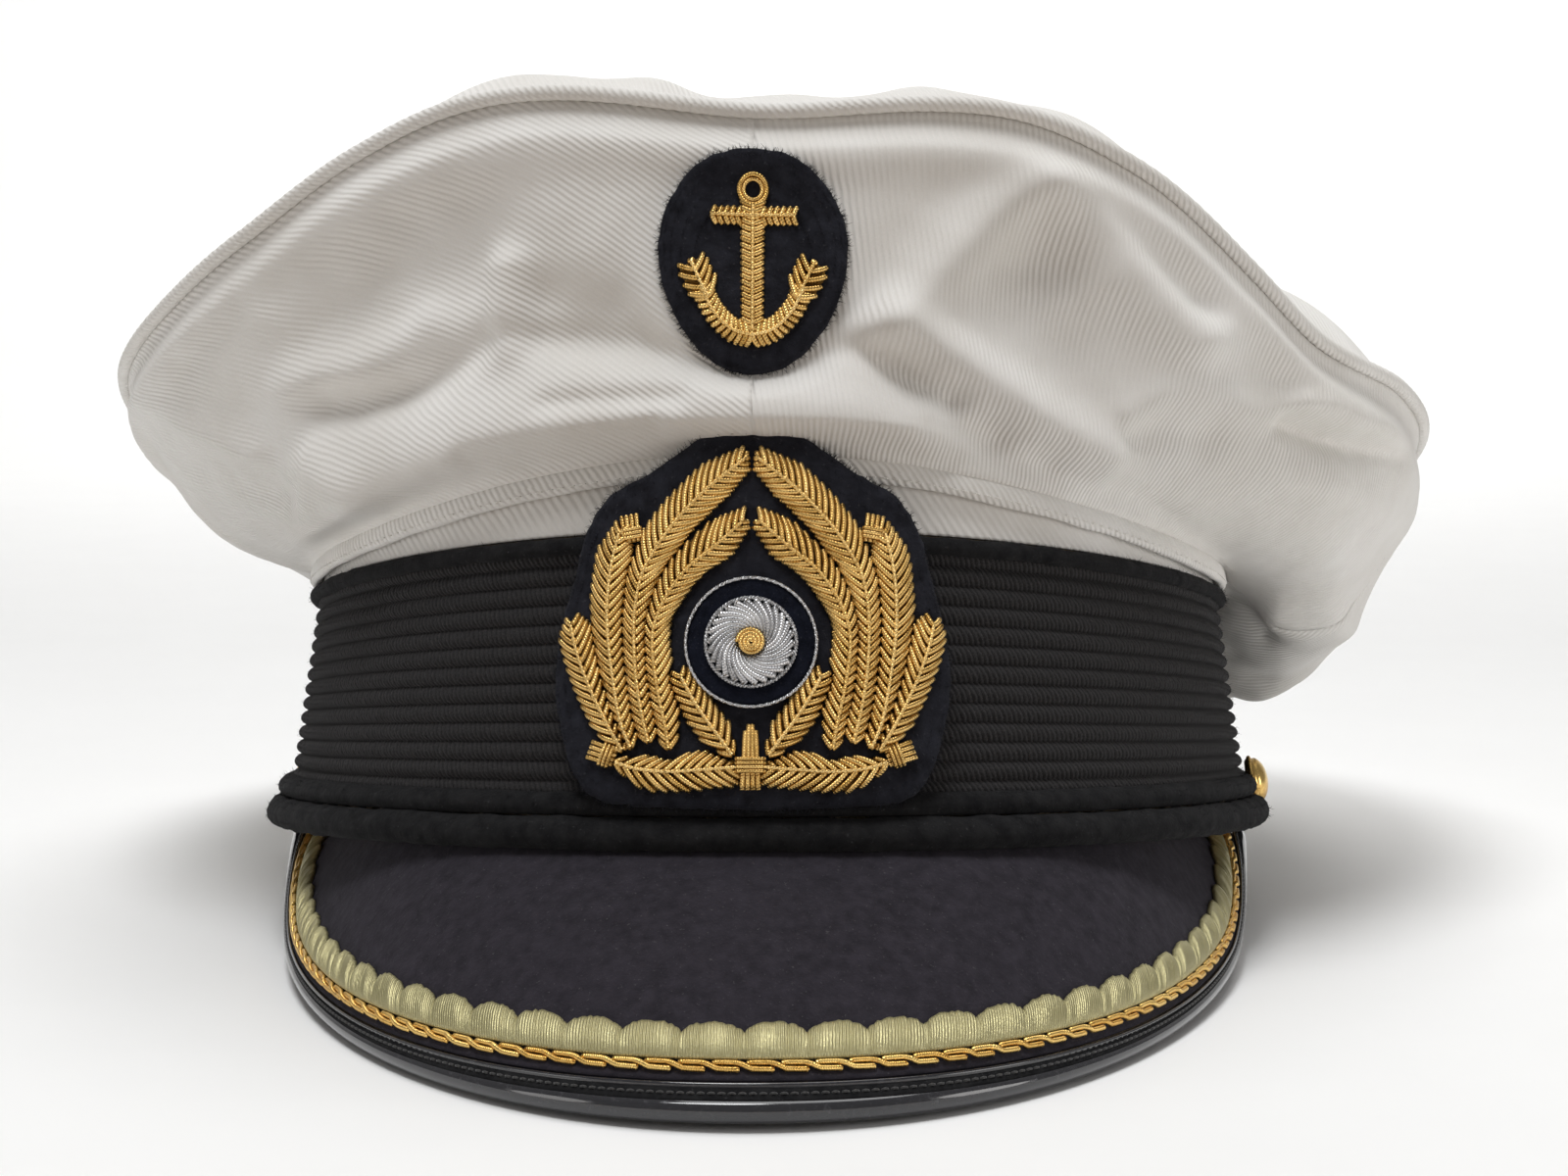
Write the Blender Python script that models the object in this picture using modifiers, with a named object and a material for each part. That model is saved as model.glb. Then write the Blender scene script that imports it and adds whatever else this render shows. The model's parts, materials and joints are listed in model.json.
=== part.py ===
"""Military peaked cap: stiff ribbed band, felt visor, lift-off white cover, badge and emblem.

Standalone Blender 4.5 script. Metres, +Z up, the visor points to -Y. Every piece is modelled in
the cap's own frame, whose origin is the middle of the head opening in the plane of the band's
lower edge, and hangs on one empty that tips the cap back until it rests on visor and band.
"""

import math

import bmesh
import bpy
from mathutils import Matrix, Vector

MM = 0.001
GAP = 0.3 * MM
COLLECTION = "military_peaked_cap"

# Band: an oval that narrows upwards, higher at the front
BAND_HALF_WIDTH = 86.3 * MM
BAND_HALF_LENGTH = 104 * MM
BAND_TAPER = 0.145
BAND_SIDE_HEIGHT = 40.5 * MM
BAND_RISE = (4.5 * MM, 3.5 * MM)
RING_COLUMNS = 48
MOHAIR_THICKNESS = 1.2 * MM
FORMER_THICKNESS = 1.4 * MM
FORMER_OUT = -(MOHAIR_THICKNESS + 0.4 * MM)
FORMER_IN = FORMER_OUT - FORMER_THICKNESS
FORMER_LOW = 0.8 * MM
FORMER_ABOVE_BAND = 5 * MM
BASE_ROLL_RADIUS = 2.5 * MM
LOWER_WELT_RADIUS = 1.6 * MM
UPPER_WELT_RADIUS = 1.4 * MM
MOHAIR_LOW = 8.9 * MM

# Inside: leather sweatband, reed, lining dome and sweat shield
SWEATBAND_OUT = FORMER_IN - 2.2 * MM
SWEATBAND_THICKNESS = 1.2 * MM
SWEATBAND_LOW = 0.6 * MM
SWEATBAND_HIGH = 32 * MM
REED_RADIUS = 0.7 * MM
LINING_LOW = 33.5 * MM
LINING_TOP = 84 * MM
LINING_OUT = FORMER_IN - 2.2 * MM
LINING_THICKNESS = 0.8 * MM
SHIELD_REACH = 0.52
SHIELD_THICKNESS = 0.5 * MM
SHIELD_CLEARANCE = 1.6 * MM
STAY_HALF_WIDTH = 13 * MM
STAY_THICKNESS = 0.8 * MM

# Cover: hem line above the band, rim of the crown, cloth
CLOTH = 1.0 * MM
NECK_OUT = FORMER_OUT + 0.4 * MM + CLOTH
HEM_RISE = 8 * MM
HEM_LOW = 0.5 * MM
HEM_HEIGHT = 3.6 * MM
HEM_THICKNESS = 1.1 * MM
SIDE_START = NECK_OUT + HEM_THICKNESS + GAP + CLOTH
PIPING_RADIUS = 1.3 * MM
WIRE_RADIUS = 0.9 * MM
WIRE_INSET = 6 * MM
WIRE_DEPTH = 3.2 * MM
RIM_CENTRE_Y = 20 * MM
TOP_CENTRE_HEIGHT = 98 * MM
TOP_PUFF = 11.5 * MM
SEAM_ANGLE = 0.15
# angle from the front, reach from the rim's centre, rim height, outward belly, downward sag
RIM = (
    (-180, 112, 54, 3, 16),
    (-145, 118, 58, 4, 13),
    (-112, 122, 68, 5, 10),
    (-85, 121, 77, 5, 7),
    (-65, 119, 84, 4, 4),
    (-48, 116, 95, 3, 2),
    (-35, 114, 106, 3, 0),
    (-20, 113, 114, 2, 0),
    (0, 112, 112.5, 2, 0),
    (20, 113, 114, 2, 0),
    (33, 113, 106, 3, 0),
    (46, 111, 92, 4, 2),
    (57, 111, 81, 4, 4),
    (72, 116, 76, 5, 10),
    (92, 121.5, 69, 6, 21),
    (115, 125, 61, 7, 31),
    (145, 119, 56, 5, 26),
)

# Visor: board edge outline, stack of layers, binding and gold work
VISOR_END_Y = -8 * MM
VISOR_HALF_WIDTH = 83.8 * MM
VISOR_REACH = 135 * MM
VISOR_DROP = 32.4 * MM
VISOR_END_DROP = 7.4 * MM
VISOR_DROP_POWER = 2.5
VISOR_BELLY = 2.5 * MM
VISOR_TUCK = 1.2 * MM
VISOR_COLUMNS = 30
CLOTH_DEPTH = (0.0, 0.7 * MM)
BOARD_DEPTH = (1.0 * MM, 2.8 * MM)
UNDER_DEPTH = (3.1 * MM, 3.7 * MM)
FLANGE = (1.0 * MM, 2.2 * MM)
EDGE_ROLL = 2.0 * MM
CHAIN_INSET = (2.8 * MM, 2.8 * MM)
CHAIN_RADIUS = 1.1 * MM
SCALLOP_WIDTH = (2.5 * MM, 3.2 * MM)
SCALLOP_THICKNESS = 0.7 * MM
GOLD_WORK_TURN = 83

# Badge on the band's front and emblem on the cover's front
BADGE_BACK = 3.2 * MM
BADGE_FELT = 1.6 * MM
WREATH_THICKNESS = 2.0 * MM
ROUNDEL_HEIGHT = 31.5 * MM
ROUNDEL_RADIUS = 10.2 * MM
EMBLEM_HEIGHT = 89.5 * MM
EMBLEM_FELT = 1.4 * MM
EMBROIDERY_THICKNESS = 1.4 * MM

# Side buttons
BUTTON_ANGLE = {-1: -98.0, 1: 85.0}
BUTTON_HEIGHT = 6.9 * MM
BUTTON_RADIUS = 4.6 * MM
BUTTON_DOME = 3.8 * MM
BUTTON_EDGE = 0.8 * MM
BUTTON_STAND_OFF = 0.6 * MM
SHANK_RADIUS = 1.0 * MM
SHANK_HOLE_RADIUS = 1.4 * MM
PIN_LENGTH = 7 * MM
PIN_RADIUS = 0.45 * MM


# ---------------------------------------------------------------- scene and materials

def clear_scene():
    for obj in list(bpy.data.objects):
        bpy.data.objects.remove(obj, do_unlink=True)


def new_collection(name):
    collection = bpy.data.collections.new(name)
    bpy.context.scene.collection.children.link(collection)
    return collection


def material(name, colour, roughness, metallic=0.0):
    made = bpy.data.materials.new(name)
    made.use_nodes = True
    shader = made.node_tree.nodes["Principled BSDF"]
    shader.inputs["Base Color"].default_value = (*colour, 1)
    shader.inputs["Roughness"].default_value = roughness
    shader.inputs["Metallic"].default_value = metallic
    return made


def add_part(obj, colour, roughness, metallic=0.0):
    """Give a finished object its material, its collection and the cap's empty as parent."""
    obj.data.materials.clear()
    obj.data.materials.append(material(obj.name, colour, roughness, metallic))
    parts.objects.link(obj)
    obj.parent = cap
    if obj.type == "MESH":
        obj.data.shade_smooth()
        obj.data.set_sharp_from_angle(angle=math.radians(40))
    return obj


# ---------------------------------------------------------------- the cap's own curves

def through(knots, angle, column):
    """Value at an angle of a smooth closed curve through the knots' given column."""
    count = len(knots)
    turn = (angle + 180) % 360 - 180
    i = max(k for k in range(count) if knots[k][0] <= turn)

    def knot(k):
        lap, index = divmod(k, count)
        return knots[index][0] + 360 * lap, knots[index][column]

    (a0, v0), (a1, v1), (a2, v2), (a3, v3) = (knot(i + k) for k in (-1, 0, 1, 2))
    slope_1 = (v2 - v0) / (a2 - a0)
    slope_2 = (v3 - v1) / (a3 - a1)
    span = a2 - a1
    t = (turn - a1) / span
    return (
        v1 * (2 * t**3 - 3 * t**2 + 1)
        + slope_1 * span * (t**3 - 2 * t**2 + t)
        + v2 * (3 * t**2 - 2 * t**3)
        + slope_2 * span * (t**3 - t**2)
    )


def band_point(angle, height, offset=0.0):
    """Point on the band's outer face, pushed out by offset. Angles are degrees from the front."""
    turn = math.radians(angle)
    shrink = offset - BAND_TAPER * height
    return Vector((
        (BAND_HALF_WIDTH + shrink) * math.sin(turn),
        -(BAND_HALF_LENGTH + shrink) * math.cos(turn),
        height,
    ))


def band_top(angle):
    front = math.cos(math.radians(angle))
    return BAND_SIDE_HEIGHT + BAND_RISE[0] * front + BAND_RISE[1] * front**2


def hem_base(angle):
    """Height of the hem binding's lower edge, which stands higher above the band in front."""
    front = max(math.cos(math.radians(angle)), 0.0)
    return band_top(angle) + HEM_LOW + HEM_RISE * front**3


def outward(angle):
    turn = math.radians(angle)
    return Vector((math.sin(turn), -math.cos(turn), 0))


def rim_point(angle, inset=0.0, lower=0.0):
    reach = through(RIM, angle, 1) * MM - inset
    height = through(RIM, angle, 2) * MM - lower
    return outward(angle) * reach + Vector((0, RIM_CENTRE_Y, height))


def crown_side(angle, v):
    """Outer face of the crown's side: v is 0 at the hem and 1 just under the piping."""
    start = band_point(angle, hem_base(angle) + HEM_HEIGHT + GAP, SIDE_START)
    end = rim_point(angle, 0.6 * MM, PIPING_RADIUS + GAP)
    belly = math.sin(math.pi * v)
    out = through(RIM, angle, 3) * MM * belly
    sag = through(RIM, angle, 4) * MM * belly
    return start.lerp(end, v) + outward(angle) * out - Vector((0, 0, sag))


def crown_top(angle, s):
    """Outer face of the top panel: s is 0 in the middle and 1 at the piping."""
    edge = rim_point(angle, PIPING_RADIUS + GAP + CLOTH)
    middle = Vector((0, RIM_CENTRE_Y, 0))
    flat = middle.lerp(Vector((edge.x, edge.y, 0)), s)
    height = TOP_CENTRE_HEIGHT * (1 - s**2) + edge.z * s**2 + TOP_PUFF * math.sin(math.pi * s**3)
    return Vector((flat.x, flat.y, height + CLOTH / 2))


def visor_inner(turn):
    end_angle = math.degrees(math.acos(-VISOR_END_Y / BAND_HALF_LENGTH))
    return band_point(turn / 90 * end_angle, -1.2 * GAP, VISOR_TUCK)


def visor_outer(turn):
    side = math.radians(turn)
    lift = (VISOR_DROP - VISOR_END_DROP) * abs(turn / 90) ** VISOR_DROP_POWER
    return Vector((
        VISOR_HALF_WIDTH * math.sin(side),
        VISOR_END_Y - VISOR_REACH * math.cos(side),
        lift - VISOR_DROP,
    ))


def visor_length(turn):
    return (visor_outer(turn) - visor_inner(turn)).length


def visor_face(turn, t):
    """Top face of the visor: t is 0 at the band and 1 at the board's edge."""
    swell = VISOR_BELLY * math.sin(math.pi * t) * math.cos(math.radians(turn))
    return visor_inner(turn).lerp(visor_outer(turn), t) + Vector((0, -0.6, 0.8)) * swell


def lifted(surface, u, v, lift, step=(0.5, 0.01)):
    """Point of a surface moved along its outward normal by lift."""
    along = surface(u + step[0], v) - surface(u - step[0], v)
    up = surface(u, v + step[1]) - surface(u, v - step[1])
    return surface(u, v) + along.cross(up).normalized() * lift


def visor_at(turn, inset, depth=0.0):
    """Point of the visor at an inset from the board's edge and a depth below the top face."""
    t = 1 - inset / visor_length(turn)
    flipped = lambda u, v: visor_face(u, 1 - v)
    return lifted(flipped, turn, 1 - t, -depth)


def badge_at(s, height, lift):
    """Point of the badge: s runs round the band's front, lift stands off the band's face."""
    angle = math.degrees(s / BAND_HALF_WIDTH)
    return band_point(angle, height, lift)


def emblem_at(s, height, lift):
    """Point of the emblem, laid on the front of the cover."""
    angle = math.degrees(s / (rim_point(0) - Vector((0, RIM_CENTRE_Y, 0))).xy.length)
    low = crown_side(0, 0).z
    high = crown_side(0, 1).z
    return lifted(crown_side, angle, (height - low) / (high - low), lift)


# ---------------------------------------------------------------- shape makers

def mesh_object(name, points, faces):
    mesh = bpy.data.meshes.new(name)
    mesh.from_pydata([tuple(p) for p in points], [], faces)
    return bpy.data.objects.new(name, mesh)


def grid_faces(columns, rows, wrap_columns, wrap_rows):
    faces = []
    for c in range(columns if wrap_columns else columns - 1):
        for r in range(rows if wrap_rows else rows - 1):
            d = (c + 1) % columns
            q = (r + 1) % rows
            faces.append((c * rows + r, d * rows + r, d * rows + q, c * rows + q))
    return faces


def ring_solid(name, section):
    """Closed ring: section(angle) gives the corners of its cross-section, anticlockwise."""
    sections = [section(360 * k / RING_COLUMNS) for k in range(RING_COLUMNS)]
    points = [p for corners in sections for p in corners]
    faces = grid_faces(RING_COLUMNS, len(sections[0]), True, True)
    return mesh_object(name, points, faces)


def swept_solid(name, sections):
    """Closed bar through a row of cross-sections, with a flat cap at each end."""
    rows = len(sections[0])
    points = [p for corners in sections for p in corners]
    faces = grid_faces(len(sections), rows, False, True)
    faces.append(tuple(range(rows)))
    faces.append(tuple(len(points) - 1 - r for r in range(rows)))
    return mesh_object(name, points, faces)


def shell(name, columns, thickness, wrap=False, inward=True):
    """Sheet of cloth or board: columns of points given Solidify's thickness."""
    points = [p for column in columns for p in column]
    obj = mesh_object(name, points, grid_faces(len(columns), len(columns[0]), wrap, False))
    solidify = obj.modifiers.new("thickness", "SOLIDIFY")
    solidify.thickness = thickness
    solidify.offset = -1 if inward else 1
    solidify.use_even_offset = True
    return obj


def tube(name, points, radius, cyclic, resolution=2):
    curve = bpy.data.curves.new(name, "CURVE")
    curve.dimensions = "3D"
    curve.bevel_depth = radius
    curve.bevel_resolution = resolution
    curve.use_fill_caps = not cyclic
    spline = curve.splines.new("POLY")
    spline.points.add(len(points) - 1)
    for target, point in zip(spline.points, points):
        target.co = (*point, 1)
    spline.use_cyclic_u = cyclic
    return bpy.data.objects.new(name, curve)


def band_tube(name, height, offset, radius, resolution=1):
    turns = [360 * k / RING_COLUMNS for k in range(RING_COLUMNS)]
    return tube(name, [band_point(a, height(a), offset) for a in turns], radius, True, resolution)


def smooth_outline(knots, steps=3):
    """Closed outline through the knots, as a Catmull-Rom curve."""
    count = len(knots)
    outline = []
    for i in range(count):
        a, b, c, d = (Vector(knots[(i + k) % count]) for k in (-1, 0, 1, 2))
        for j in range(steps):
            t = j / steps
            outline.append(
                0.5 * (2 * b + (c - a) * t + (2 * a - 5 * b + 4 * c - d) * t**2
                       + (3 * b - a - 3 * c + d) * t**3)
            )
    return [(p.x * MM, p.y * MM) for p in outline]


def circle_outline(x, y, radius, count=24):
    turns = [math.tau * k / count for k in range(count)]
    return [(x + radius * math.cos(a), y + radius * math.sin(a)) for a in turns]


def curve_to_mesh(obj, flat=True):
    """Mesh of a curve object, with its caps welded and flat faces joined; the curve is removed."""
    bpy.context.scene.collection.objects.link(obj)
    graph = bpy.context.evaluated_depsgraph_get()
    mesh = bpy.data.meshes.new_from_object(obj.evaluated_get(graph))
    name = obj.name
    bpy.data.objects.remove(obj, do_unlink=True)
    work = bmesh.new()
    work.from_mesh(mesh)
    bmesh.ops.remove_doubles(work, verts=work.verts, dist=0.01 * MM)
    if flat:
        bmesh.ops.dissolve_limit(
            work, angle_limit=math.radians(0.5), verts=work.verts, edges=work.edges
        )
    work.to_mesh(mesh)
    work.free()
    return bpy.data.objects.new(name, mesh)


def bent_plate(name, outlines, low, high, place, strip=5 * MM, across=False):
    """Flat outline extruded from low to high, cut into strips and laid on a curved face."""
    curve = bpy.data.curves.new(name, "CURVE")
    curve.dimensions = "2D"
    curve.fill_mode = "BOTH"
    curve.extrude = (high - low) / 2
    for outline in outlines:
        spline = curve.splines.new("POLY")
        spline.points.add(len(outline) - 1)
        for target, (x, y) in zip(spline.points, outline):
            target.co = (x, y, 0, 1)
        spline.use_cyclic_u = True
    obj = curve_to_mesh(bpy.data.objects.new(name, curve))
    work = bmesh.new()
    work.from_mesh(obj.data)
    for axis in (0, 1) if across else (0,):
        normal = (1 - axis, axis, 0)
        first = math.ceil(min(v.co[axis] for v in work.verts) / strip)
        last = math.floor(max(v.co[axis] for v in work.verts) / strip)
        for k in range(first, last + 1):
            geometry = work.verts[:] + work.edges[:] + work.faces[:]
            bmesh.ops.bisect_plane(
                work, geom=geometry, dist=0.001 * MM,
                plane_co=[k * strip * n for n in normal], plane_no=normal,
            )
    bmesh.ops.triangulate(work, faces=work.faces)
    for vertex in work.verts:
        x, y, z = vertex.co
        vertex.co = place(x, y, (low + high) / 2 + z)
    bmesh.ops.recalc_face_normals(work, faces=work.faces)
    if work.calc_volume(signed=True) < 0:
        bmesh.ops.reverse_faces(work, faces=work.faces)
    work.to_mesh(obj.data)
    work.free()
    return obj


def cut_round(obj, centre, axis, radius, length, name):
    """Round hole or recess in a piece, cut by a hidden cylinder."""
    bpy.ops.mesh.primitive_cylinder_add(vertices=16, radius=radius, depth=length)
    cutter = bpy.context.active_object
    cutter.name = name
    cutter.rotation_euler = axis.to_track_quat("Z", "Y").to_euler()
    cutter.location = centre
    cutter.parent = cap
    cutter.hide_render = True
    cutter.display_type = "WIRE"
    for home in list(cutter.users_collection):
        home.objects.unlink(cutter)
    cutters.objects.link(cutter)
    hole = obj.modifiers.new(name, "BOOLEAN")
    hole.object = cutter
    hole.operation = "DIFFERENCE"


# ---------------------------------------------------------------- band and inside

BLACK_WOOL = (0.012, 0.012, 0.016)
NAVY_FELT = (0.022, 0.020, 0.027)
WHITE_TWILL = (0.80, 0.77, 0.72)
GOLD = (0.62, 0.38, 0.10)
PALE_GOLD = (0.72, 0.62, 0.30)


def wall_section(low, high, outer, inner):
    """Cross-section function of a wall between two heights, which are functions of the angle."""
    return lambda angle: (
        band_point(angle, low(angle), outer),
        band_point(angle, high(angle), outer),
        band_point(angle, high(angle), inner),
        band_point(angle, low(angle), inner),
    )


def button_axis(side):
    """Centre on the band's face and outward normal of a side button."""
    angle = BUTTON_ANGLE[side]
    centre = band_point(angle, BUTTON_HEIGHT)
    ahead = band_point(angle + side, BUTTON_HEIGHT) - band_point(angle - side, BUTTON_HEIGHT)
    up = band_point(angle, BUTTON_HEIGHT + MM) - centre
    normal = ahead.cross(up).normalized() * side
    return centre, normal


def press_recesses(pieces):
    """The wool rolls and the mohair lie pressed flat behind each side button."""
    for side, label in ((-1, "left"), (1, "right")):
        centre, axis = button_axis(side)
        depth = 8 * MM
        back = BUTTON_STAND_OFF - GAP
        for piece in pieces:
            cut_round(
                piece, centre + axis * (back + depth / 2), axis, BUTTON_RADIUS + GAP, depth,
                f"{piece.name}_recess_{label}",
            )
            cut_round(piece, centre, axis, SHANK_HOLE_RADIUS, 10 * MM, f"{piece.name}_hole_{label}")


def build_band():
    def mohair_high(angle):
        return band_top(angle) - 2 * UPPER_WELT_RADIUS - 2 * GAP

    former = ring_solid("band_former", wall_section(
        lambda a: FORMER_LOW, lambda a: band_top(a) + FORMER_ABOVE_BAND, FORMER_OUT, FORMER_IN
    ))
    add_part(former, (0.35, 0.27, 0.18), 0.8)
    mohair = ring_solid("mohair_band", wall_section(
        lambda a: MOHAIR_LOW, mohair_high, 0, -MOHAIR_THICKNESS
    ))
    add_part(mohair, BLACK_WOOL, 0.9)
    for side, label in ((-1, "left"), (1, "right")):
        centre, axis = button_axis(side)
        cut_round(former, centre, axis, SHANK_HOLE_RADIUS, 10 * MM, f"former_hole_{label}")
    base_offset = FORMER_OUT + GAP + BASE_ROLL_RADIUS
    base_roll = curve_to_mesh(
        band_tube("base_roll", lambda a: BASE_ROLL_RADIUS, base_offset, BASE_ROLL_RADIUS, 2), False
    )
    add_part(base_roll, BLACK_WOOL, 0.95)
    welt_height = 2 * BASE_ROLL_RADIUS + GAP + LOWER_WELT_RADIUS
    lower_welt = curve_to_mesh(
        band_tube("lower_welt", lambda a: welt_height, 0.5 * MM, LOWER_WELT_RADIUS), False
    )
    add_part(lower_welt, BLACK_WOOL, 0.95)
    press_recesses((base_roll, lower_welt, mohair))
    add_part(
        band_tube("upper_welt", lambda a: band_top(a) - UPPER_WELT_RADIUS, 0.3 * MM, UPPER_WELT_RADIUS),
        BLACK_WOOL, 0.95,
    )


def lining_point(angle, v, drop=0.0):
    """Outer face of the lining dome: v is 0 at its lower edge and 1 at the top."""
    rise = math.sin(v * math.pi / 2) ** 0.9
    shrink = math.cos(v * math.pi / 2) ** 0.55 if v < 1 else 0.0
    edge = band_point(angle, LINING_LOW, LINING_OUT)
    height = LINING_LOW + (LINING_TOP - LINING_LOW) * rise - drop
    return Vector((edge.x * shrink, edge.y * shrink, height))


def dome(name, columns, rows, point, thickness):
    """Closed-top dome: rings of points that meet in one point, given a thickness inwards."""
    points = [point(360 * c / columns, r / rows) for c in range(columns) for r in range(rows)]
    faces = grid_faces(columns, rows, True, False)
    faces += [(c * rows + rows - 1, (c + 1) % columns * rows + rows - 1, columns * rows)
              for c in range(columns)]
    obj = mesh_object(name, points + [point(0, 1)], faces)
    solidify = obj.modifiers.new("thickness", "SOLIDIFY")
    solidify.thickness = thickness
    solidify.offset = -1
    return obj


def build_inside():
    sweatband = ring_solid("sweatband", wall_section(
        lambda a: SWEATBAND_LOW, lambda a: SWEATBAND_HIGH,
        SWEATBAND_OUT, SWEATBAND_OUT - SWEATBAND_THICKNESS,
    ))
    add_part(sweatband, (0.28, 0.13, 0.06), 0.5)
    reed_offset = (FORMER_IN + SWEATBAND_OUT) / 2
    reed = band_tube("sweatband_reed", lambda a: 1.6 * MM, reed_offset, REED_RADIUS)
    add_part(reed, (0.5, 0.45, 0.35), 0.6)
    add_part(dome("lining", 32, 7, lining_point, LINING_THICKNESS), (0.55, 0.47, 0.30), 0.4)
    clearance = LINING_THICKNESS + SHIELD_CLEARANCE
    low = 1 - SHIELD_REACH
    shield = dome(
        "sweat_shield", 20, 3,
        lambda a, v: lining_point(a, low + (1 - low) * v, clearance), SHIELD_THICKNESS,
    )
    add_part(shield, (0.75, 0.72, 0.60), 0.15)


def stay_sections():
    """Cross-sections of the front stay, from inside the band up to the crown wire."""
    foot = band_point(0, 36 * MM, FORMER_IN - GAP)
    shoulder = band_point(0, band_top(0) + 4 * MM, FORMER_IN - GAP)
    head = rim_point(0, WIRE_INSET + WIRE_RADIUS + GAP + STAY_THICKNESS, 7 * MM)
    path = [foot, shoulder, shoulder.lerp(head, 0.5), head]
    columns = []
    for k in range(9):
        s = STAY_HALF_WIDTH * (k / 4 - 1)
        bend = BAND_HALF_WIDTH * (1 - math.cos(s / BAND_HALF_WIDTH)) * 1.35
        columns.append([p + Vector((s, bend, 0)) for p in path])
    return columns


def build_stay():
    add_part(shell("front_stay", stay_sections(), STAY_THICKNESS), (0.45, 0.46, 0.48), 0.35, 1.0)


# ---------------------------------------------------------------- visor

def visor_turns(limit=90.0):
    return [limit * (2 * k / VISOR_COLUMNS - 1) for k in range(VISOR_COLUMNS + 1)]


def flange(turn):
    return FLANGE[0] + FLANGE[1] * math.cos(math.radians(turn))


def visor_layer(name, depth, edge_inset, rows=3):
    columns = []
    for turn in visor_turns(89.5):
        reach = visor_length(turn) - GAP - 0.6 * depth[0]
        inset = edge_inset(turn)
        insets = [reach + (inset - reach) * r / rows for r in range(rows + 1)]
        columns.append([visor_at(turn, i, depth[0]) for i in insets])
    return shell(name, columns, depth[1] - depth[0], inward=False)


def binding_section(turn):
    """C-shaped cross-section of the visor binding: insets from the board edge, and depths."""
    lip = flange(turn)
    under = min(lip, 4 * MM)
    roll = EDGE_ROLL
    middle = (BOARD_DEPTH[0] + BOARD_DEPTH[1]) / 2
    return [visor_at(turn, inset, depth) for inset, depth in (
        (lip, CLOTH_DEPTH[1]), (-1.5 * GAP, CLOTH_DEPTH[1]), (-1.5 * GAP, UNDER_DEPTH[0]),
        (under, UNDER_DEPTH[0]), (under, UNDER_DEPTH[1]), (-0.3 * roll, UNDER_DEPTH[1] + 0.1 * MM),
        (-0.85 * roll, middle + 0.55 * roll), (-roll, middle), (-0.85 * roll, middle - 0.55 * roll),
        (-0.3 * roll, -0.1 * MM), (lip, 0),
    )]


def chain_inset(turn):
    return CHAIN_INSET[0] + CHAIN_INSET[1] * math.cos(math.radians(turn)) ** 0.7


def scallop_columns():
    columns = []
    for turn in visor_turns(GOLD_WORK_TURN):
        near = chain_inset(turn) + CHAIN_RADIUS + 2 * GAP
        far = near + SCALLOP_WIDTH[0] + SCALLOP_WIDTH[1] * math.cos(math.radians(turn))
        columns.append([visor_at(turn, i, -SCALLOP_THICKNESS - GAP) for i in (far, near)])
    return columns


def build_visor():
    board = visor_layer("visor_board", BOARD_DEPTH, lambda turn: 0.0)
    add_part(board, (0.20, 0.17, 0.13), 0.8)
    add_part(visor_layer("visor_cloth", CLOTH_DEPTH, lambda turn: flange(turn) + GAP), NAVY_FELT, 0.95)
    under = visor_layer("visor_lining", UNDER_DEPTH, lambda turn: min(flange(turn), 4 * MM) + GAP)
    add_part(under, (0.10, 0.05, 0.03), 0.4)
    binding = swept_solid("visor_edge_binding", [binding_section(t) for t in visor_turns(89.5)])
    add_part(binding, (0.008, 0.008, 0.010), 0.12)
    lift = -CHAIN_RADIUS - GAP
    chain = [visor_at(turn, chain_inset(turn), lift) for turn in visor_turns(GOLD_WORK_TURN)]
    add_part(tube("visor_chain_embroidery", chain, CHAIN_RADIUS, False), GOLD, 0.35, 1.0)
    scallops = shell("visor_scallop_embroidery", scallop_columns(), SCALLOP_THICKNESS, inward=False)
    add_part(scallops, PALE_GOLD, 0.4, 1.0)


# ---------------------------------------------------------------- badge

def mirrored(knots):
    """Left half of a symmetric outline from its right half, which starts and ends on the axis."""
    return list(knots) + [(-x, y) for x, y in reversed(knots) if x > 0]


BADGE_OUTLINE = (
    (0, 64.4), (7, 63.4), (13, 59.8), (18, 56.6), (23.5, 53.6), (27, 48), (28.6, 41), (30.4, 33),
    (30.8, 25), (29, 17), (26.6, 11), (22, 7.4), (12, 6.6), (0, 6.3),
)
WREATH_OUTLINE = (
    (2.2, 10), (12, 9.4), (23, 10.6), (24.2, 14.6), (21.8, 18.5), (25, 24), (28, 31.4), (24.6, 33.5),
    (24.2, 45.6), (20.8, 44.6), (18.4, 48.2), (14, 51.5), (9.5, 56.5), (1.4, 59.4), (4.2, 53.5),
    (8.2, 48.8), (2.4, 49.2), (3.6, 45), (9.6, 41.8), (12.2, 36), (11.9, 27), (8.6, 21.4), (2.2, 19),
)


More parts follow.
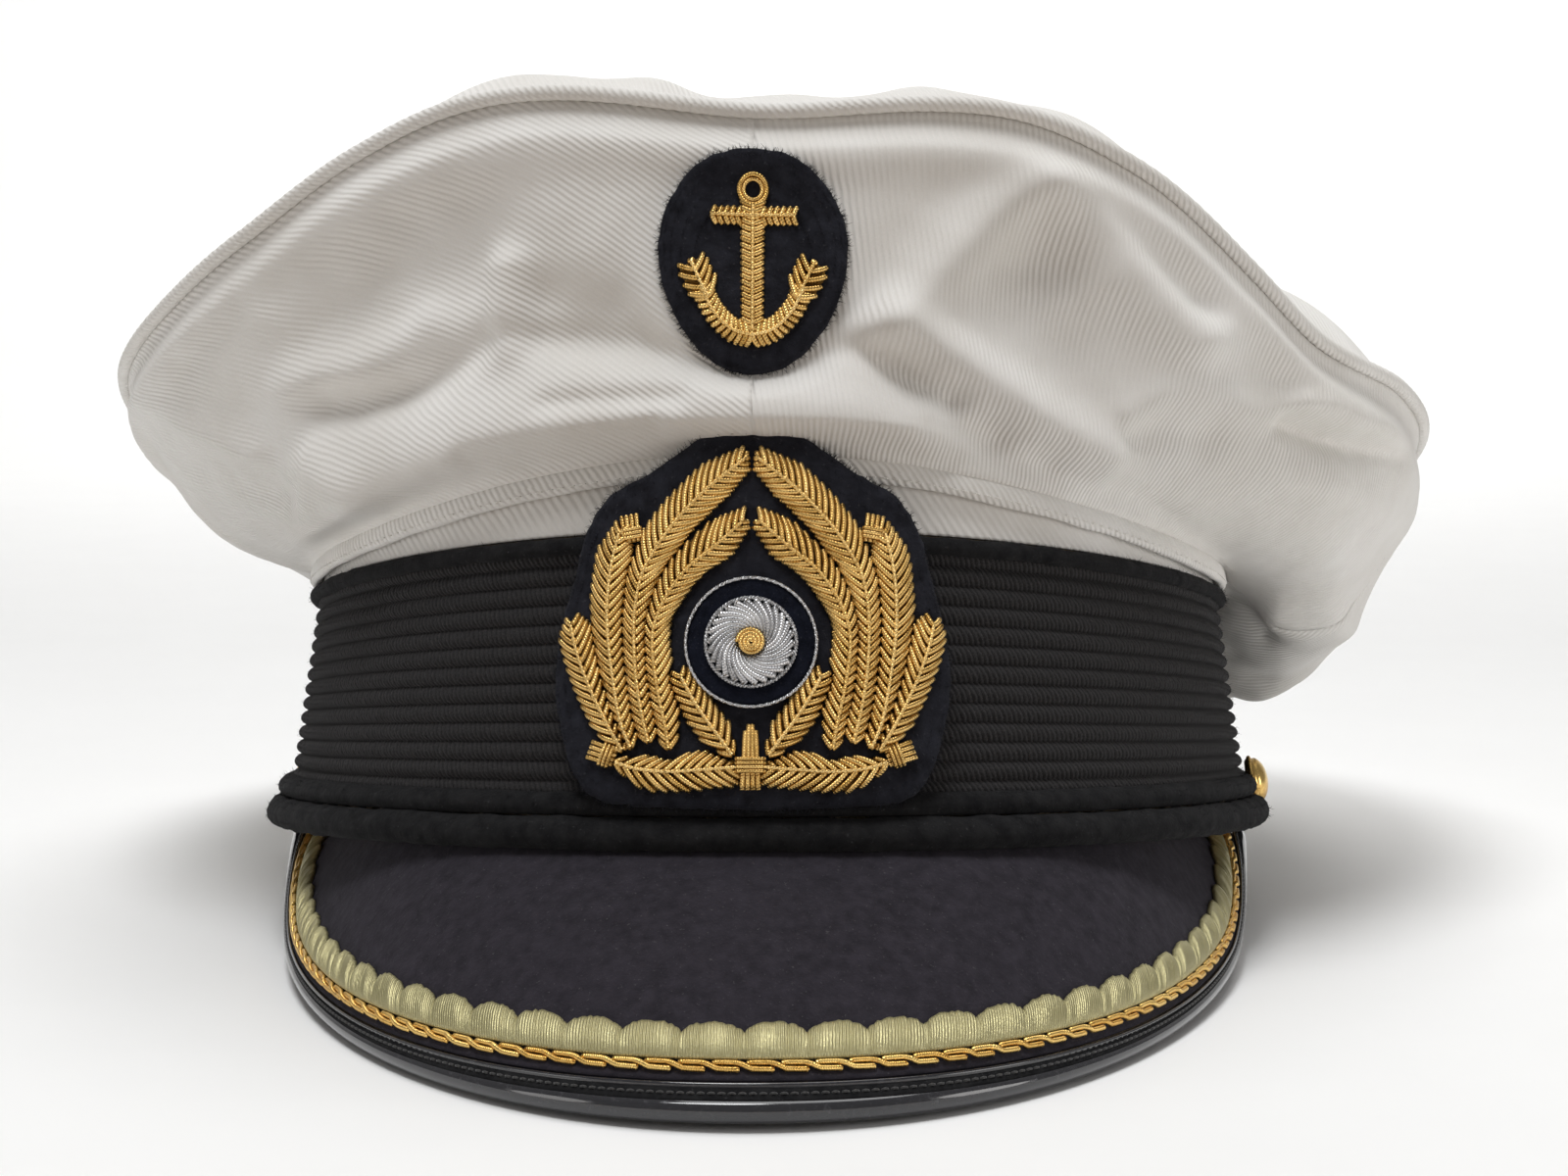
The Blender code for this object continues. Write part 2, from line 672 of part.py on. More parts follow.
def build_badge():
    card = [(x * 0.8, 10.5 + (y - 6.3) * 0.55) for x, y in mirrored(BADGE_OUTLINE)]
    felt_top = BADGE_BACK + BADGE_FELT
    wreath_low = felt_top + GAP
    wreath_high = wreath_low + WREATH_THICKNESS
    add_part(
        bent_plate("badge_card", [smooth_outline(card, 2)], GAP, BADGE_BACK - GAP, badge_at),
        (0.40, 0.34, 0.25), 0.8,
    )
    outline = smooth_outline(mirrored(BADGE_OUTLINE), 2)
    add_part(bent_plate("badge_backing", [outline], BADGE_BACK, felt_top, badge_at), BLACK_WOOL, 0.95)
    for side, label in ((-1, "left"), (1, "right")):
        half = [(side * x * MM, y * MM) for x, y in WREATH_OUTLINE]
        leaf = bent_plate(f"wreath_{label}", [half], wreath_low, wreath_high, badge_at)
        add_part(leaf, GOLD, 0.35, 1.0)
    bars = ((-1.6, 9.2), (1.6, 9.2), (1.9, 14), (0.9, 19.6), (-0.9, 19.6), (-1.9, 14))
    stem = [(x * MM, y * MM) for x, y in bars]
    add_part(bent_plate("wreath_stem", [stem], wreath_low, wreath_high, badge_at), GOLD, 0.35, 1.0)
    build_roundel(wreath_low)


def build_roundel(low):
    def ring(radius):
        return circle_outline(0, ROUNDEL_HEIGHT, radius)

    steps = (low, low + 1.2 * MM, low + 2.4 * MM, low + 3.4 * MM)
    inner = 0.70 * ROUNDEL_RADIUS
    centre = 0.23 * ROUNDEL_RADIUS
    add_part(
        bent_plate("roundel_base", [ring(0.94 * ROUNDEL_RADIUS)], steps[0], steps[1] - GAP, badge_at),
        (0.015, 0.02, 0.05), 0.9,
    )
    add_part(
        bent_plate("roundel_disc", [ring(inner)], steps[1], steps[2] - GAP, badge_at),
        (0.62, 0.62, 0.64), 0.3, 1.0,
    )
    add_part(
        bent_plate("roundel_centre", [ring(centre)], steps[2], steps[3] - GAP, badge_at, 2 * MM),
        GOLD, 0.35, 1.0,
    )
    wire_radius = 0.45 * MM
    wire = circle_outline(0, ROUNDEL_HEIGHT, 0.94 * ROUNDEL_RADIUS, 32)
    points = [badge_at(x, y, steps[1] + wire_radius) for x, y in wire]
    add_part(tube("roundel_wire", points, wire_radius, True, 1), (0.62, 0.62, 0.64), 0.3, 1.0)


# ---------------------------------------------------------------- cover

def quarter(name, start, end, columns=12, rows=7):
    turns = [start + SEAM_ANGLE + (end - start - 2 * SEAM_ANGLE) * k / columns for k in range(columns + 1)]
    grid = [[crown_side(a, r / rows) for r in range(rows + 1)] for a in turns]
    return shell(name, grid, CLOTH)


def build_cover():
    for name, start, end in (
        ("cover_front_left", -90, 0), ("cover_front_right", 0, 90),
        ("cover_rear_right", 90, 180), ("cover_rear_left", -180, -90),
    ):
        add_part(quarter(name, start, end), WHITE_TWILL, 0.9)
    add_part(dome("cover_top_panel", 40, 6, lambda a, v: crown_top(a, 1 - v), CLOTH), WHITE_TWILL, 0.9)
    rim = [rim_point(360 * k / 56) for k in range(56)]
    add_part(tube("cover_piping", rim, PIPING_RADIUS, True, 1), WHITE_TWILL, 0.9)
    neck = ring_solid("cover_neck_band", wall_section(
        lambda a: band_top(a) + GAP, lambda a: hem_base(a) + HEM_HEIGHT, NECK_OUT, NECK_OUT - CLOTH
    ))
    add_part(neck, WHITE_TWILL, 0.9)
    hem_in = NECK_OUT + GAP
    hem = ring_solid("cover_hem_binding", wall_section(
        hem_base, lambda a: hem_base(a) + HEM_HEIGHT - GAP, hem_in + HEM_THICKNESS, hem_in
    ))
    add_part(hem, WHITE_TWILL, 0.9)


def build_crown_wire():
    """Wire hoop inside the crown, open at the back, and the ferrule over its two ends."""
    ferrule_half = 5.0
    turns = [-180 + ferrule_half * 0.55 + (360 - ferrule_half * 1.1) * k / 56 for k in range(57)]
    hoop = [rim_point(a, WIRE_INSET, WIRE_DEPTH) for a in turns]
    add_part(tube("crown_wire", hoop, WIRE_RADIUS, False, 1), (0.55, 0.55, 0.56), 0.3, 1.0)


def build_emblem():
    """Plain oval patch with an anchor: ring, stock, shank and arms in one outline."""
    def oval(scale):
        return [(19 * scale * math.cos(a), 20 * scale * math.sin(a)) for a in
                (math.tau * k / 28 for k in range(28))]

    def raised(outline):
        return [(x * MM, y * MM + EMBLEM_HEIGHT) for x, y in outline]

    felt_low = GAP
    felt_high = felt_low + EMBLEM_FELT
    gold_low = felt_high + GAP
    gold_high = gold_low + EMBROIDERY_THICKNESS
    backing = bent_plate(
        "emblem_backing", [raised(oval(0.86))], felt_low, felt_high, emblem_at, across=True
    )
    add_part(backing, NAVY_FELT, 0.95)
    half = (
        (0, 13.2), (1.6, 12.6), (2.2, 11), (1.3, 9.2), (1.4, 8.4), (6.2, 8.4), (6.2, 6.2), (1.3, 6.2),
        (1.2, -9.2), (5.2, -7.6), (7.8, -4.6), (6.2, -3.4), (10.4, -0.4), (11.2, -5.8), (9.6, -5.2),
        (6.6, -9.6), (2.6, -12), (0, -13),
    )
    anchor = bent_plate(
        "emblem_anchor", [raised(mirrored(half))], gold_low, gold_high, emblem_at, across=True
    )
    add_part(anchor, GOLD, 0.35, 1.0)


# ---------------------------------------------------------------- buttons

def button_frame(side, label):
    """Empty on the button's axis, its +Z pointing out of the band."""
    centre, axis = button_axis(side)
    frame = bpy.data.objects.new(f"button_{label}_axis", None)
    frame.matrix_local = Matrix.Translation(centre) @ axis.to_track_quat("Z", "Y").to_matrix().to_4x4()
    parts.objects.link(frame)
    frame.parent = cap
    return frame


def build_button(side, label):
    frame = button_frame(side, label)
    low = BUTTON_STAND_OFF
    profile = [(0, low + BUTTON_DOME)]
    for k in range(1, 7):
        a = math.radians(15 * k)
        height = low + BUTTON_EDGE + (BUTTON_DOME - BUTTON_EDGE) * math.cos(a)
        profile.append((BUTTON_RADIUS * math.sin(a), height))
    profile += [(BUTTON_RADIUS, low + 0.2 * MM), (BUTTON_RADIUS - 0.5 * MM, low), (0, low)]
    mesh = bpy.data.meshes.new(f"button_{label}")
    mesh.from_pydata([(x, 0, z) for x, z in profile], [(k, k + 1) for k in range(len(profile) - 1)], [])
    button = bpy.data.objects.new(f"button_{label}", mesh)
    screw = button.modifiers.new("turn", "SCREW")
    screw.steps = 20
    screw.render_steps = 20
    screw.use_merge_vertices = True
    screw.merge_threshold = 0.01 * MM
    add_part(button, GOLD, 0.25, 1.0).parent = frame
    inner_end = FORMER_IN - 0.5 * MM
    length = low - GAP - inner_end
    bpy.ops.mesh.primitive_cylinder_add(vertices=12, radius=SHANK_RADIUS, depth=length)
    shank = bpy.context.active_object
    shank.name = f"button_shank_{label}"
    for home in list(shank.users_collection):
        home.objects.unlink(shank)
    add_part(shank, GOLD, 0.3, 1.0).parent = frame
    shank.location = (0, 0, inner_end + length / 2)
    pin_depth = inner_end - GAP - PIN_RADIUS
    pin = tube(
        f"button_pin_{label}",
        [(x * PIN_LENGTH / 2, 0, pin_depth) for x in (-1, -0.5, 0, 0.5, 1)], PIN_RADIUS, False, 1,
    )
    add_part(pin, (0.55, 0.45, 0.20), 0.35, 1.0).parent = frame


# ---------------------------------------------------------------- resting attitude

def resting_tilt():
    """Tilt that brings the visor's edge and the band's rear down to one level."""
    def visor_low(tilt):
        edge = [visor_at(turn, -EDGE_ROLL, UNDER_DEPTH[0]) for turn in visor_turns()]
        return min(p.z * math.cos(tilt) - p.y * math.sin(tilt) for p in edge)

    def rear_low(tilt):
        centre = band_point(180, BASE_ROLL_RADIUS, FORMER_OUT + GAP + BASE_ROLL_RADIUS)
        return centre.z * math.cos(tilt) - centre.y * math.sin(tilt) - BASE_ROLL_RADIUS

    flat, steep = 0.0, math.radians(20)
    for _ in range(40):
        middle = (flat + steep) / 2
        if rear_low(middle) > visor_low(middle):
            flat = middle
        else:
            steep = middle
    return middle


def stand_on_floor():
    """Tip the cap back and move it so that the origin is under the middle of its box."""
    cap.rotation_euler = (-resting_tilt(), 0, 0)
    bpy.context.view_layer.update()
    graph = bpy.context.evaluated_depsgraph_get()
    corners = []
    for obj in parts.objects:
        if obj.type == "EMPTY":
            continue
        solid = obj.evaluated_get(graph)
        mesh = solid.to_mesh()
        corners += [obj.matrix_world @ v.co for v in mesh.vertices]
        solid.to_mesh_clear()
    low = Vector([min(c[i] for c in corners) for i in range(3)])
    high = Vector([max(c[i] for c in corners) for i in range(3)])
    cap.location = (-(low.x + high.x) / 2, -(low.y + high.y) / 2, -low.z)
    bpy.context.view_layer.update()


clear_scene()
parts = new_collection(COLLECTION)
cutters = new_collection("cutters")
cap = bpy.data.objects.new("cap", None)
parts.objects.link(cap)
build_band()
build_inside()
build_stay()
build_visor()
build_badge()
build_cover()
build_crown_wire()
build_emblem()
build_button(-1, "left")
build_button(1, "right")
stand_on_floor()
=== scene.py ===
"""Looks of the military peaked cap: cloth, felt, embroidery and leather built round its frame.

Every piece is modelled in the cap's own frame (origin in the middle of the head opening, visor
towards -Y) and carried into place by CAP, the tipped-back attitude in which the cap rests.
Lengths are in metres unless a name ends in _MM. Angles are degrees from the front.
"""

import json
import math

import bpy
import numpy as np
from mathutils import Matrix, Vector, noise


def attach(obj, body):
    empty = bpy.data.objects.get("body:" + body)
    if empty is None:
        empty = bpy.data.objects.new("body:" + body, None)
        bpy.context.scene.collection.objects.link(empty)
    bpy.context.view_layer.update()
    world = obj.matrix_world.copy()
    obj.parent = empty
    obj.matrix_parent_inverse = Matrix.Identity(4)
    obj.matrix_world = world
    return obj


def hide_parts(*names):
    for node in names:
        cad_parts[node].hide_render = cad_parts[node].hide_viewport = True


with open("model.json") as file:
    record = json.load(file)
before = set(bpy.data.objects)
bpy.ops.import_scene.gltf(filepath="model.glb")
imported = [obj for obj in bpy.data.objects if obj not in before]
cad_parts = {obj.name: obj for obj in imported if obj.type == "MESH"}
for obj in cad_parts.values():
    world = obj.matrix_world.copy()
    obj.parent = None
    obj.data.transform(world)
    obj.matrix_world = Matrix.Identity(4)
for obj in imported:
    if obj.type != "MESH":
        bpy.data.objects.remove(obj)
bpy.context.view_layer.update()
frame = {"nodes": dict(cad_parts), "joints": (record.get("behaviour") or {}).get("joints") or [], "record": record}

MM = 0.001
GAP = 0.3 * MM
RANDOM = np.random.default_rng(11)
SIDES = ((-1, "left"), (1, "right"))

# The frame's own dimensions, as the CAD model states them
BAND_HALF_WIDTH = 86.3 * MM
BAND_HALF_LENGTH = 104 * MM
BAND_TAPER = 0.145
BAND_SIDE_HEIGHT = 40.5 * MM
BAND_RISE = (4.5 * MM, 3.5 * MM)
FORMER_OUT = -1.6 * MM
BASE_ROLL_RADIUS = 2.5 * MM
LOWER_WELT_RADIUS = 1.6 * MM
UPPER_WELT_RADIUS = 1.4 * MM
MOHAIR_LOW = 8.9 * MM
MOHAIR_RIBS = 13
MOHAIR_TEETH = 632
SWEATBAND_OUT = -5.2 * MM
SWEATBAND_THICKNESS = 1.2 * MM
SWEATBAND_LOW = 0.6 * MM
SWEATBAND_HIGH = 32 * MM
LINING_LOW = 33.5 * MM
LINING_TOP = 84 * MM
LINING_OUT = -5.2 * MM
SHIELD_REACH = 0.52
SHIELD_DROP = 2.4 * MM

CLOTH = 1.0 * MM
CLOTH_LAYER = 0.7 * MM
NECK_OUT = -0.2 * MM
HEM_RISE = 8 * MM
HEM_LOW = 0.5 * MM
HEM_HEIGHT = 3.6 * MM
HEM_THICKNESS = 1.1 * MM
SIDE_START = 2.2 * MM
PIPING_RADIUS = 1.3 * MM
RIM_CENTRE = np.array((0, 20 * MM, 0))
TOP_CENTRE_HEIGHT = 98 * MM
TOP_PUFF = 11.5 * MM
# angle, reach from the rim's centre, rim height, outward belly, downward sag (mm)
RIM = np.array((
    (-180, 112, 54, 3, 16), (-145, 118, 58, 4, 13), (-112, 121.5, 68, 4, 8), (-85, 120, 78, 4, 5),
    (-65, 119, 86.5, 3.5, 3), (-48, 116, 98.3, 3, 2), (-35, 114, 109.8, 3, 0), (-20, 113, 117.4, 2, 0),
    (0, 112, 114, 2, 0), (20, 113, 114.8, 2, 0), (33, 113, 107.2, 3, 0), (46, 112, 93.2, 4, 2),
    (57, 113, 82.2, 4, 4), (72, 118, 77, 4.5, 10), (92, 122, 69, 5, 20), (115, 125, 61, 5.5, 30),
    (145, 119, 56, 5, 26),
))

VISOR_END_Y = -8 * MM
VISOR_HALF_WIDTH = 83.8 * MM
VISOR_REACH = 135 * MM
VISOR_DROP = 32.4 * MM
VISOR_END_DROP = 7.4 * MM
VISOR_DROP_POWER = 2.5
VISOR_BELLY = 2.5 * MM
VISOR_TUCK = 1.2 * MM
VISOR_END_TUCK = 9 * MM
VISOR_END_LOW = 0.2 * MM
VISOR_END_RISE = 6.4 * MM
VISOR_END_TURN = 89.5
VISOR_UP = np.array((0, -0.2, 1.0))
BOARD_MIDDLE = 1.9 * MM
UNDER_DEPTH = (3.1 * MM, 3.7 * MM)
UNDER_EDGE = 4 * MM
BINDING_WIDTH = (1.0 * MM, 2.2 * MM)
BINDING_SEAT = -0.70 * MM
EDGE_ROLL = 2.0 * MM
CHAIN_INSET = (2.8 * MM, 2.8 * MM)
CHAIN_STEP = 4.8 * MM
SCALLOP_STEP = 8.7 * MM
GOLD_WORK_TURN = 87.5

BADGE_BACK = 3.2 * MM
BADGE_FELT = 1.6 * MM
WREATH_LOW = BADGE_BACK + BADGE_FELT
ROUNDEL_HEIGHT_MM = 31.5
ROUNDEL_RADIUS_MM = 10.2
EMBLEM_HEIGHT_MM = 89.5
EMBLEM_HALF_MM = (16.3, 17.2)
EMBLEM_FELT = 1.4 * MM
STRAND_PITCH_MM = 0.82
BEAD_PITCH_MM = 0.75
LEAF_GAP_MM = 0.3
STRAND_RADIUS = 0.46 * MM
BINDING_THREAD = 0.31 * MM

BUTTON_ANGLE = {-1: -98.0, 1: 85.0}
BUTTON_HEIGHT = 6.9 * MM
BUTTON_RADIUS = 4.6 * MM
BUTTON_DOME = 3.8 * MM
BUTTON_RIM = 0.42 * MM
BUTTON_STAND_OFF = 0.6 * MM

# Camera: distance in front of the band's middle, height over the band's lower edge, azimuth, pitch
# and the slope of its turn to the side
EYE_DISTANCE = 600 * MM
EYE_HEIGHT = 29 * MM
EYE_AZIMUTH = math.radians(1.5)
EYE_PITCH = math.atan(3 / 140)
EYE_SIDE_SLOPE = 1 / 224
SENSOR = 36
LENS = 75.6


def cap_matrix():
    """Attitude and place of the cap's own frame, from the record's head opening and lift axis."""
    opening = next(m for m in frame["record"]["mounts"] if m["name"] == "head_opening")
    lift = next(j for j in frame["joints"] if j["name"] == "cover_lift")
    turn = Vector((0, 0, 1)).rotation_difference(Vector(lift["axis"]))
    return Matrix.Translation(opening["pos_m"]) @ turn.to_matrix().to_4x4()


CAP = cap_matrix()
CAP_TURN = np.array(CAP.to_3x3())
CAP_PLACE = np.array(CAP.translation)


def add_object(name, data):
    made = bpy.data.objects.new(name, data)
    bpy.context.scene.collection.objects.link(made)
    return made


def make_camera():
    data = bpy.data.cameras.new("camera")
    data.sensor_width = SENSOR
    data.lens = LENS
    data.clip_start = 0.01
    camera = add_object("camera", data)
    bpy.context.scene.camera = camera
    east, north = math.sin(EYE_AZIMUTH), math.cos(EYE_AZIMUTH)
    ahead = Vector((-east, north, 0)) * math.cos(EYE_PITCH) + Vector((0, 0, math.sin(EYE_PITCH)))
    ahead = (ahead + Vector((north, east, 0)) * EYE_SIDE_SLOPE).normalized()
    side = ahead.cross(Vector((0, 0, 1))).normalized()
    turned = Matrix((side, side.cross(ahead), -ahead)).transposed().to_4x4()
    place = Vector((EYE_DISTANCE * east, -EYE_DISTANCE * north, EYE_HEIGHT))
    camera.matrix_world = CAP @ Matrix.Translation(place) @ turned


make_camera()


# ---------------------------------------------------------------- the cap's own curves

def vec(x, y, z):
    return np.stack(np.broadcast_arrays(x, y, z), axis=-1)


def unit(v):
    return v / np.maximum(np.linalg.norm(v, axis=-1, keepdims=True), 1e-12)


def sine(degrees):
    return np.sin(np.radians(degrees))


def cosine(degrees):
    return np.cos(np.radians(degrees))


def polar(radius, turn, height=0.0):
    """Flat points (x, y) at a radius and a turn in radians round a centre at a height."""
    return np.stack(np.broadcast_arrays(radius * np.cos(turn), height + radius * np.sin(turn)), axis=-1)


def round_turns(count):
    """Turns in radians, evenly spaced once round."""
    return math.tau * np.arange(count) / count


def full_turns(count):
    """Column of angles, evenly spaced once round."""
    return 360 * np.arange(count)[:, None] / count


def bell(x, width):
    return np.exp(-((x / width) ** 2))


def ramp01(x):
    """Smooth step from 0 to 1 as x goes from 0 to 1."""
    t = np.clip(x, 0, 1)
    return t * t * (3 - 2 * t)


def run_along(points):
    """Length of a line up to each of its points."""
    return np.concatenate([[0], np.cumsum(np.linalg.norm(np.diff(points, axis=0), axis=1))])


def through(angle, column):
    """Value at an angle of a smooth closed curve through RIM's given column."""
    knots = np.concatenate([RIM[:, 0] + lap for lap in (-360, 0, 360)])
    values = np.tile(RIM[:, column], 3)
    slopes = np.gradient(values)
    slopes[1:-1] = (values[2:] - values[:-2]) / (knots[2:] - knots[:-2])
    turn = (np.asarray(angle, float) + 180) % 360 - 180
    i = np.searchsorted(knots, turn, side="right") - 1
    span = knots[i + 1] - knots[i]
    t = (turn - knots[i]) / span
    return (
        values[i] * (2 * t**3 - 3 * t**2 + 1)
        + slopes[i] * span * (t**3 - 2 * t**2 + t)
        + values[i + 1] * (3 * t**2 - 2 * t**3)
        + slopes[i + 1] * span * (t**3 - t**2)
    )


def band_point(angle, height, offset=0.0):
    """Point on the band's outer face, pushed out by offset."""
    shrink = offset - BAND_TAPER * np.asarray(height)
    return vec(
        (BAND_HALF_WIDTH + shrink) * sine(angle),
        -(BAND_HALF_LENGTH + shrink) * cosine(angle),
        height,
    )


def band_top(angle):
    front = cosine(angle)
    return BAND_SIDE_HEIGHT + BAND_RISE[0] * front + BAND_RISE[1] * front**2


def hem_base(angle):
    return band_top(angle) + HEM_LOW + HEM_RISE * np.maximum(cosine(angle), 0) ** 3


def outward(angle):
    return vec(sine(angle), -cosine(angle), 0.0)


def rim_point(angle, inset=0.0, lower=0.0):
    reach = through(angle, 1)[..., None] * MM - inset
    return outward(angle) * reach + RIM_CENTRE + vec(0, 0, through(angle, 2) * MM - lower)


def crown_side(angle, v):
    """Side of the crown: v is 0 at the hem and 1 just under the piping."""
    angle, v = np.broadcast_arrays(angle, v)
    start = band_point(angle, hem_base(angle) + HEM_HEIGHT, SIDE_START)
    end = rim_point(angle, 0.6 * MM, PIPING_RADIUS)
    belly = np.sin(math.pi * v)
    sag = through(angle, 4) * MM * belly
    close = 1 - 0.7 * ramp01(through(angle, 4) / 25) * (1 - v) ** 3
    across = np.stack([v * close, v * close, v], axis=-1)
    out = (through(angle, 3) * MM * belly * close)[..., None]
    return start + (end - start) * across + outward(angle) * out - vec(0, 0, sag)


def rim_roll(v):
    """Height in mm of the full edge that the cloth makes just under the piping."""
    return 2.3 * bell(v - 0.88, 0.08) * ramp01((1 - v) / 0.12)


def crown_top(angle, s):
    """Top panel: s is 0 in the middle and 1 at the piping."""
    edge = rim_point(angle, PIPING_RADIUS + CLOTH)
    flat = RIM_CENTRE[:2] + (edge[..., :2] - RIM_CENTRE[:2]) * s[..., None]
    puff = TOP_PUFF * np.sin(math.pi * s**3)
    height = TOP_CENTRE_HEIGHT * (1 - s**2) + edge[..., 2] * s**2 + puff
    return vec(flat[..., 0], flat[..., 1], height + CLOTH / 2)


def visor_inner(turn):
    """Where the visor runs in to: behind the roll in front, tucked in below the band at its ends."""
    end_angle = math.degrees(math.acos(-VISOR_END_Y / BAND_HALF_LENGTH))
    height = VISOR_TUCK - (VISOR_TUCK + VISOR_END_LOW) * ramp01((np.abs(turn) - 20) / 45)
    tuck = VISOR_END_TUCK * ramp01((np.abs(turn) - 30) / 45)
    return band_point(turn / 90 * end_angle, height, -1.2 * GAP - tuck)


def visor_outer(turn):
    lift = (VISOR_DROP - VISOR_END_DROP) * np.abs(turn / 90) ** VISOR_DROP_POWER
    lift = lift + VISOR_END_RISE * ramp01((np.abs(turn) - 68) / 22)
    return vec(VISOR_HALF_WIDTH * sine(turn), VISOR_END_Y - VISOR_REACH * cosine(turn), lift - VISOR_DROP)


def visor_length(turn):
    return np.linalg.norm(visor_outer(turn) - visor_inner(turn), axis=-1)


def visor_face(turn, back):
    """Top face of the visor: back is 0 at the board's edge and 1 at the band."""
    inner, outer = visor_inner(turn), visor_outer(turn)
    swell = VISOR_BELLY * np.sin(math.pi * (1 - back)) * cosine(turn)
    return outer + (inner - outer) * back[..., None] + np.array((0, -0.6, 0.8)) * swell[..., None]


def lifted(surface, u, v, lift):
    """Point of a surface moved along its outward normal by lift."""
    step_u, step_v = 0.5, 0.01
    along = surface(u + step_u, v) - surface(u - step_u, v)
    up = surface(u, v + step_v) - surface(u, v - step_v)
    return surface(u, v) + unit(np.cross(along, up)) * np.asarray(lift)[..., None]


def visor_at(turn, inset, lift=0.0):
    """Point of the visor at an inset from the board's edge, raised over the top face by lift."""
    turn, inset, lift = np.broadcast_arrays(np.asarray(turn, float), inset, lift)
    return lifted(visor_face, turn, inset / visor_length(turn), lift)


def badge_at(s, t, lift):
    """Point of the badge: s (mm) runs round the band's front, t (mm) is the height."""
    return band_point(np.degrees(s * MM / BAND_HALF_WIDTH), t * MM, lift)


def emblem_at(s, t, lift):
    """Point of the emblem, laid on the front of the cover; s and t are in mm."""
    reach = np.linalg.norm((rim_point(0.0) - RIM_CENTRE)[:2])
    low, high = crown_side(0.0, 0.0)[2], crown_side(0.0, 1.0)[2]
    v = (t * MM - low) / (high - low)
    return lifted(crown_side, np.degrees(s * MM / reach), v, lift + rim_roll(v) * MM)


# ---------------------------------------------------------------- mesh making

def quad_corners(grid):
    """Corners of every quad of a grid of indices or values (columns, rows, ...)."""
    corners = (grid[:-1, :-1], grid[1:, :-1], grid[1:, 1:], grid[:-1, 1:])
    tail = grid.shape[2:]
    return np.stack([c.reshape(-1, *tail) for c in corners], axis=1)


def run_lengths(points, axis):
    """Length in mm along the given axis of a grid, averaged over its lines."""
    steps = np.linalg.norm(np.diff(points, axis=axis), axis=-1)
    return np.concatenate([[0], np.cumsum(steps.mean(axis=1 - axis))]) / MM


class Skin:
    """Collects grids and tubes into one mesh whose UVs are millimetres on the surface."""

    def __init__(self):
        self.points = []
        self.faces = []
        self.uvs = []
        self.count = 0

    def grid(self, points, wrap_u=False, wrap_v=False):
        """Grid (columns, rows, 3); its face normals are column direction x row direction."""
        columns, rows = points.shape[:2]
        index = np.arange(columns * rows).reshape(columns, rows) + self.count
        kept = points.reshape(-1, 3)
        if wrap_u:
            index = np.concatenate([index, index[:1]], axis=0)
            points = np.concatenate([points, points[:1]], axis=0)
        if wrap_v:
            index = np.concatenate([index, index[:, :1]], axis=1)
            points = np.concatenate([points, points[:, :1]], axis=1)
        uv = np.stack(np.meshgrid(run_lengths(points, 0), run_lengths(points, 1), indexing="ij"), axis=-1)
        self.points.append(kept)
        self.count += len(kept)
        self.faces += quad_corners(index).tolist()
        self.uvs.append(quad_corners(uv).reshape(-1, 2))
        return self

    def cap(self, ring, reverse=False):
        """Flat face over a ring of vertex indices."""
        order = list(ring)[::-1] if reverse else list(ring)
        self.faces.append(order)
        self.uvs.append(np.zeros((len(order), 2)))

    def cap_ends(self, columns, rows):
        """Closes both open ends of a round grid whose columns run round it."""
        self.cap([c * rows for c in range(columns)], True)
        self.cap([c * rows + rows - 1 for c in range(columns)])

    def slab(self, top, bottom, wrap_u=False):
        """Closed sheet between two grids of the same size, top outermost."""
        columns, rows = top.shape[:2]
        first = self.count
        self.grid(np.concatenate([top, bottom[:, ::-1]], axis=1), wrap_u, True)
        if wrap_u:
            return self
        for column, reverse in ((0, False), (columns - 1, True)):
            start = first + column * 2 * rows
            for r in range(rows - 1):
                strip = (start + r, start + r + 1, start + 2 * rows - 2 - r, start + 2 * rows - 1 - r)
                self.cap(strip, reverse)
        return self

    def tubes(self, paths, radius, up, sides=8, closed=False):
        """Round bars along paths (bars, points, 3), with radius per point and a rough up side."""
        paths = np.asarray(paths, float)
        bars, count = paths.shape[:2]
        if closed:
            along = np.roll(paths, -1, axis=1) - np.roll(paths, 1, axis=1)
        else:
            along = np.gradient(paths, axis=1)
        along = unit(along)
        side = unit(np.cross(along, np.broadcast_to(up, paths.shape)))
        over = np.cross(side, along)
        turn = round_turns(sides)
        radius = np.broadcast_to(radius, (bars, count))[..., None, None]
        ring = side[:, :, None] * np.cos(turn)[:, None] + over[:, :, None] * np.sin(turn)[:, None]
        rings = paths[:, :, None] + radius * ring
        for bar in rings:
            first = self.count
            self.grid(bar, closed, True)
            if not closed:
                self.cap(range(first, first + sides))
                self.cap(range(first + (count - 1) * sides, first + count * sides), True)
        return self

    def flip(self):
        """Turns every face over, for a mirrored piece."""
        uv = np.concatenate(self.uvs)
        order = []
        for face in self.faces:
            order += range(len(order) + len(face) - 1, len(order) - 1, -1)
        self.uvs = [uv[order]]
        self.faces = [face[::-1] for face in self.faces]

    def piece(self, name, material, node, slot, body="cap_frame"):
        """The finished object, riding on its body and standing for the CAD node, if it has one."""
        mesh = bpy.data.meshes.new(name)
        points = np.concatenate(self.points) @ CAP_TURN.T + CAP_PLACE
        mesh.from_pydata(points.tolist(), [], self.faces)
        layer = mesh.uv_layers.new(name="surface_mm")
        layer.data.foreach_set("uv", np.concatenate(self.uvs).astype(np.float32).ravel())
        mesh.polygons.foreach_set("use_smooth", [True] * len(mesh.polygons))
        mesh.materials.append(material)
        made = add_object(name, mesh)
        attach(made, body)
        if node:
            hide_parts(node)
        return made


